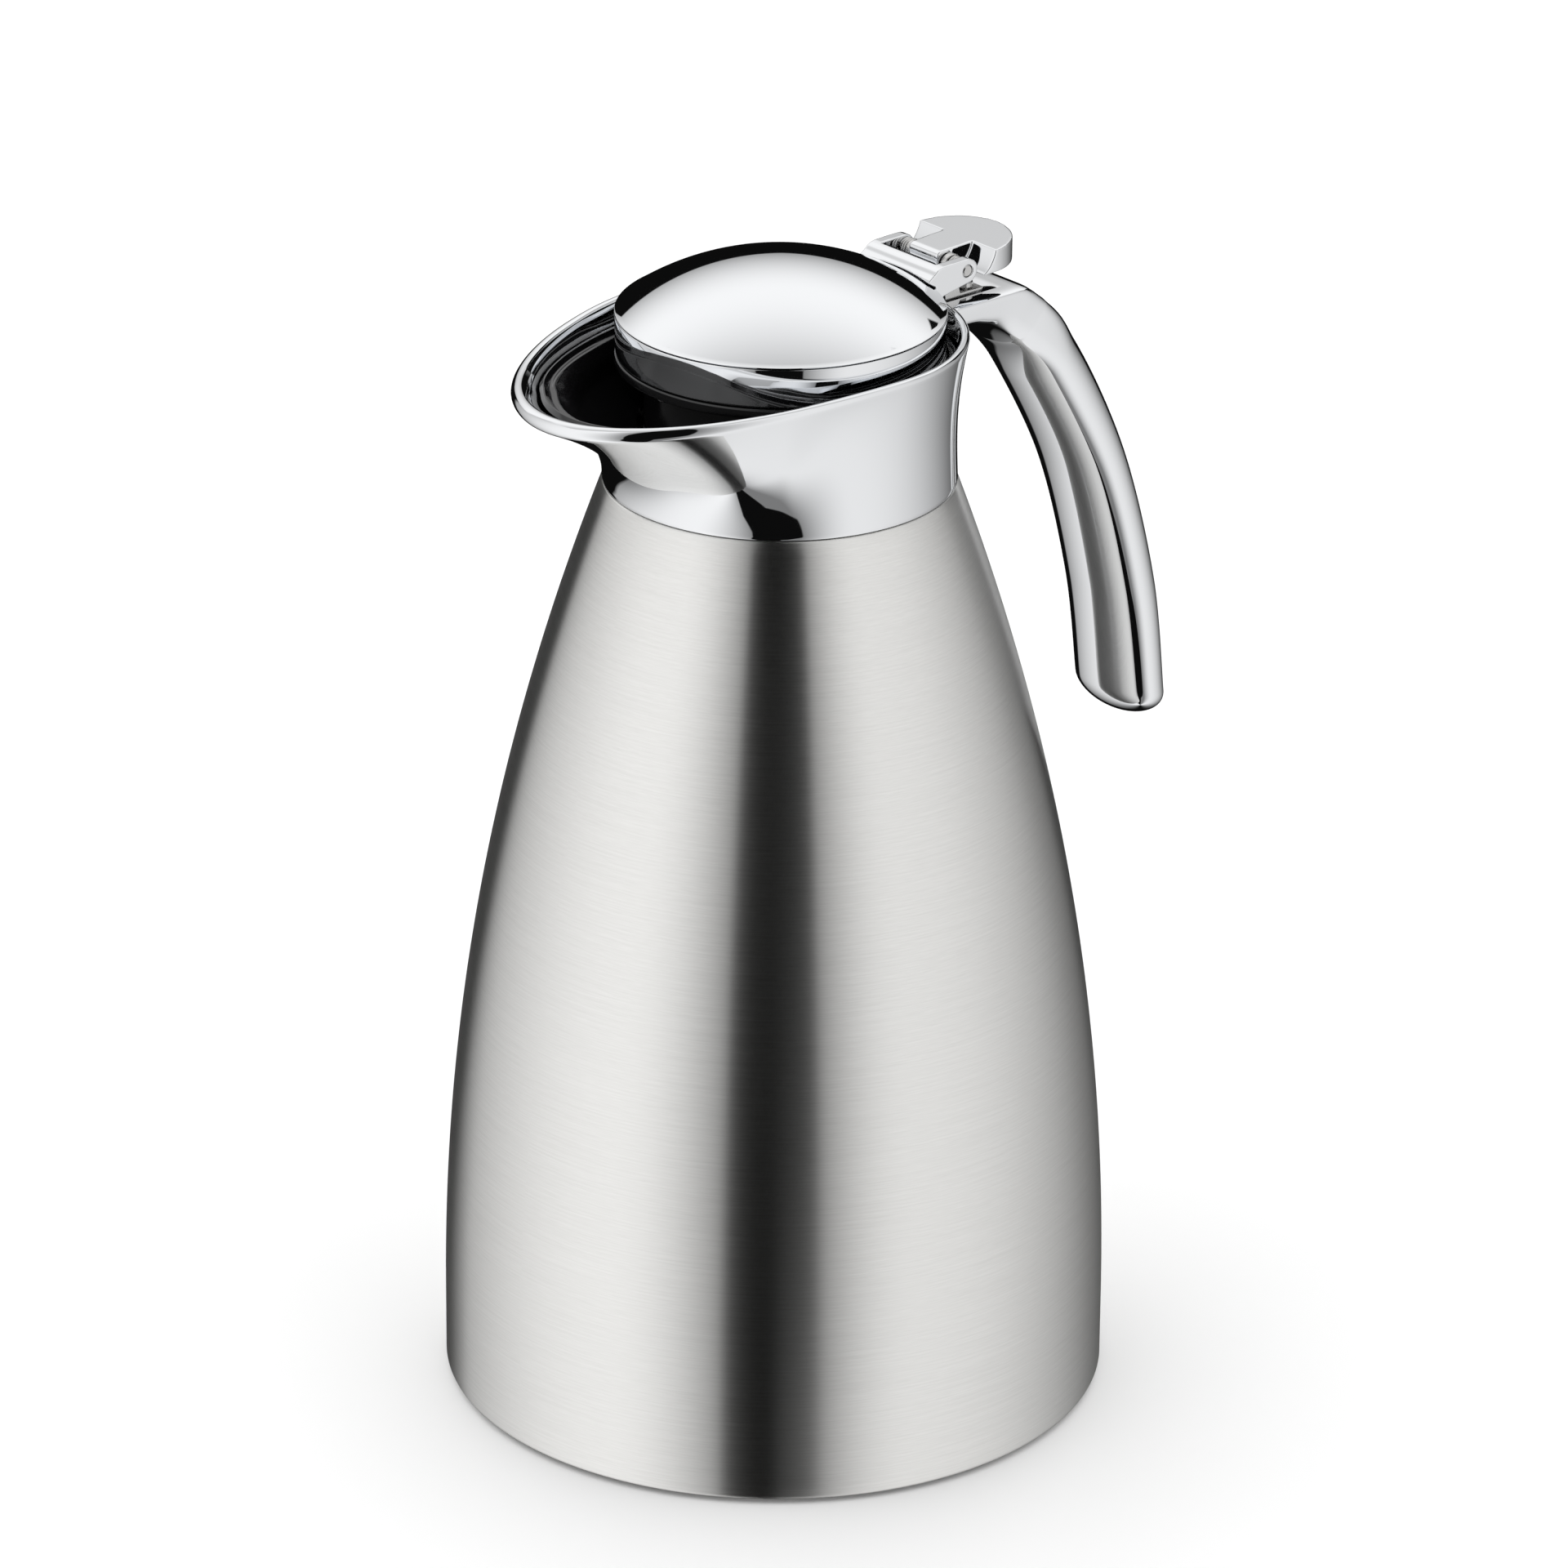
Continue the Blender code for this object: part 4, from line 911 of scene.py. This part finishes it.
def make_world():
    """A light tent: two side panels with a dark gap in front, a tilted roof panel and a dark band behind.

    Azimuth is in degrees to the right of the main view's direction, which is fixed in the world;
    elevation is in degrees above the horizon, and tilt runs from the back over the top to the front.
    """
    world = bpy.data.worlds.new("studio")
    bpy.context.scene.world = world
    world.use_nodes = True
    nodes = Nodes(world.node_tree)
    background = world.node_tree.nodes["Background"]
    direction = nodes.add("ShaderNodeTexCoord").outputs["Generated"]
    facing = nodes.add("ShaderNodeVectorRotate", rotation_type="Z_AXIS",
                       inputs={"Vector": direction, "Angle": -CAMERA_AZIMUTH}).outputs[0]
    parts = nodes.add("ShaderNodeSeparateXYZ", inputs={0: facing})
    right, away, up = parts.outputs[0], parts.outputs[1], parts.outputs[2]
    towards = nodes.math("MULTIPLY", away, -1.0)
    azimuth = nodes.math("DEGREES", nodes.math("ARCTAN2", right, towards))
    elevation = nodes.math("DEGREES", nodes.math("ARCSINE", up))
    tilt = nodes.math("DEGREES", nodes.math("ARCTAN2", up, away))

    def glow(value, centre, before, after, peak):
        """A panel's light: its peak at the centre, fading out over the degrees before and after it."""
        offset = nodes.math("SUBTRACT", value, centre)
        share = nodes.math("MAXIMUM", nodes.math("DIVIDE", offset, -before),
                           nodes.math("DIVIDE", offset, after))
        left = nodes.math("SUBTRACT", 1.0, nodes.math("MULTIPLY", share, share), clamp=True)
        return nodes.math("MULTIPLY", nodes.math("POWER", left, PANEL_FALL), peak)

    def over(value, edge, width):
        """1 where a value passes an edge, 0 below it, with a soft step of the given width."""
        return nodes.math("DIVIDE", nodes.math("SUBTRACT", value, edge), width, clamp=True)

    left_panel = glow(nodes.math("MINIMUM", azimuth, -18.0), -58.0, 124.0, 56.0, 1.0)
    right_panel = glow(nodes.math("MAXIMUM", azimuth, 14.0), 50.0, 48.0, 122.0, 0.88)
    lean = over(nodes.math("MULTIPLY", elevation, -1.0), 27.0, 20.0)
    left_edge = nodes.math("MULTIPLY_ADD", lean, -4.0, -17.5)
    right_edge = nodes.math("MULTIPLY_ADD", lean, -14.0, 15.0)
    in_left = nodes.math("SUBTRACT", 1.0, over(azimuth, left_edge, 1.0))
    in_right = over(azimuth, right_edge, 1.0)
    below = nodes.math("MAXIMUM", nodes.math("MULTIPLY_ADD", elevation, -1.1, -29.0), 0.0)
    back_left = over(nodes.math("ADD", azimuth, below), -141.0, 5.0)
    back_right = over(nodes.math("SUBTRACT", below, azimuth), -152.0, 6.0)
    back_right = nodes.math("MAXIMUM", back_right, over(nodes.math("MULTIPLY", elevation, -1.0), 14.0, 6.0))
    right_top = over(nodes.math("MAXIMUM", nodes.math("MULTIPLY", elevation, -1.0),
                                nodes.math("SUBTRACT", 118.0, azimuth)), -11.0, 1.0)
    back_right = nodes.math("MULTIPLY", back_right, right_top)
    panels = nodes.math("ADD", nodes.math("MULTIPLY", nodes.math("MULTIPLY", in_left, back_left), left_panel),
                        nodes.math("MULTIPLY", nodes.math("MULTIPLY", in_right, back_right), right_panel))
    panels = nodes.math("ADD", panels, 0.004)
    roof = glow(tilt, 48.0, 52.0, 85.0, 1.04)
    off_back = nodes.math("SUBTRACT", 180.0, nodes.math("ABSOLUTE", azimuth))
    above_edge = over(nodes.math("MULTIPLY_ADD", off_back, -0.15, elevation), 12.0, 0.7)
    beside = nodes.math("MAXIMUM", over(azimuth, 125.0, 1.5),
                        over(nodes.math("MULTIPLY", azimuth, -1.0), 118.0, 8.0))
    flag = nodes.math("MULTIPLY", over(azimuth, 110.0, 1.0),
                      nodes.math("SUBTRACT", 1.0, over(nodes.math("MULTIPLY_ADD", elevation, 1.6, azimuth),
                                                       186.0, 1.0)))
    flag = nodes.math("MULTIPLY", flag, nodes.math("SUBTRACT", 1.0, over(azimuth, 149.0, 1.0)))
    high = nodes.math("MULTIPLY", over(elevation, 44.0, 6.0),
                      nodes.math("SUBTRACT", 1.0, over(tilt, 98.0, 6.0)))
    roof_share = nodes.math("MAXIMUM", high, nodes.math("MULTIPLY", beside, above_edge))
    roof_share = nodes.math("MULTIPLY", roof_share, nodes.math("SUBTRACT", 1.0, flag))
    grey = nodes.mix(roof_share, panels, roof)
    nodes.feed(background.inputs["Color"], grey)
    background.inputs["Strength"].default_value = 1.0


def make_floor():
    """A pale floor that the mirror-like surfaces don't see."""
    size = 12.0
    bm = bmesh.new()
    bmesh.ops.create_circle(bm, cap_ends=True, segments=96, radius=size)
    floor = finish_piece("floor", bm, None)
    surface, nodes, shader = new_material("floor_white", Base_Color=(0.95, 0.95, 0.95), Roughness=0.9)
    floor.data.materials.append(surface)
    floor.location.z = -0.0002
    floor.visible_glossy = False
    lamp = bpy.data.lights.new("floor_wash", "SUN")
    lamp.energy = 1.6
    lamp.angle = math.radians(120.0)
    wash = bpy.data.objects.new("floor_wash", lamp)
    bpy.context.scene.collection.objects.link(wash)
    wash.visible_glossy = False


def make_camera():
    """Long lens from the front left, looking down at the pot."""
    distance, height, pitch, pan, roll = 1.549, 0.8064, 0.41299, 0.00087, 0.00811
    right = Vector((math.cos(CAMERA_AZIMUTH), math.sin(CAMERA_AZIMUTH), 0))
    away = Vector((-math.sin(CAMERA_AZIMUTH), math.cos(CAMERA_AZIMUTH), 0))
    up = Vector((0, 0, 1))
    level = right * math.sin(pan) + away * math.cos(pan)
    side = right * math.cos(pan) - away * math.sin(pan)
    forward = level * math.cos(pitch) - up * math.sin(pitch)
    top = level * math.sin(pitch) + up * math.cos(pitch)
    x_axis = side * math.cos(roll) + top * math.sin(roll)
    y_axis = top * math.cos(roll) - side * math.sin(roll)
    data = bpy.data.cameras.new("camera")
    data.lens = 192.97
    data.sensor_width = 36.0
    data.clip_end = 30.0
    camera = bpy.data.objects.new("camera", data)
    bpy.context.scene.collection.objects.link(camera)
    turn = Matrix((x_axis, y_axis, -forward)).transposed().to_4x4()
    camera.matrix_world = Matrix.Translation(up * height - away * distance) @ turn
    bpy.context.scene.camera = camera


def main():
    make_camera()
    make_world()
    make_floor()
    make_body_shell()
    make_base()
    make_flask()
    make_collar()
    make_liner()
    make_handle()
    make_pin()
    make_thumb_lever()
    make_lid()
    make_stopper()
    make_bracket()
    make_springs_and_block()
    dress_small_nodes()
    bpy.context.scene.view_settings.view_transform = "Standard"


main()
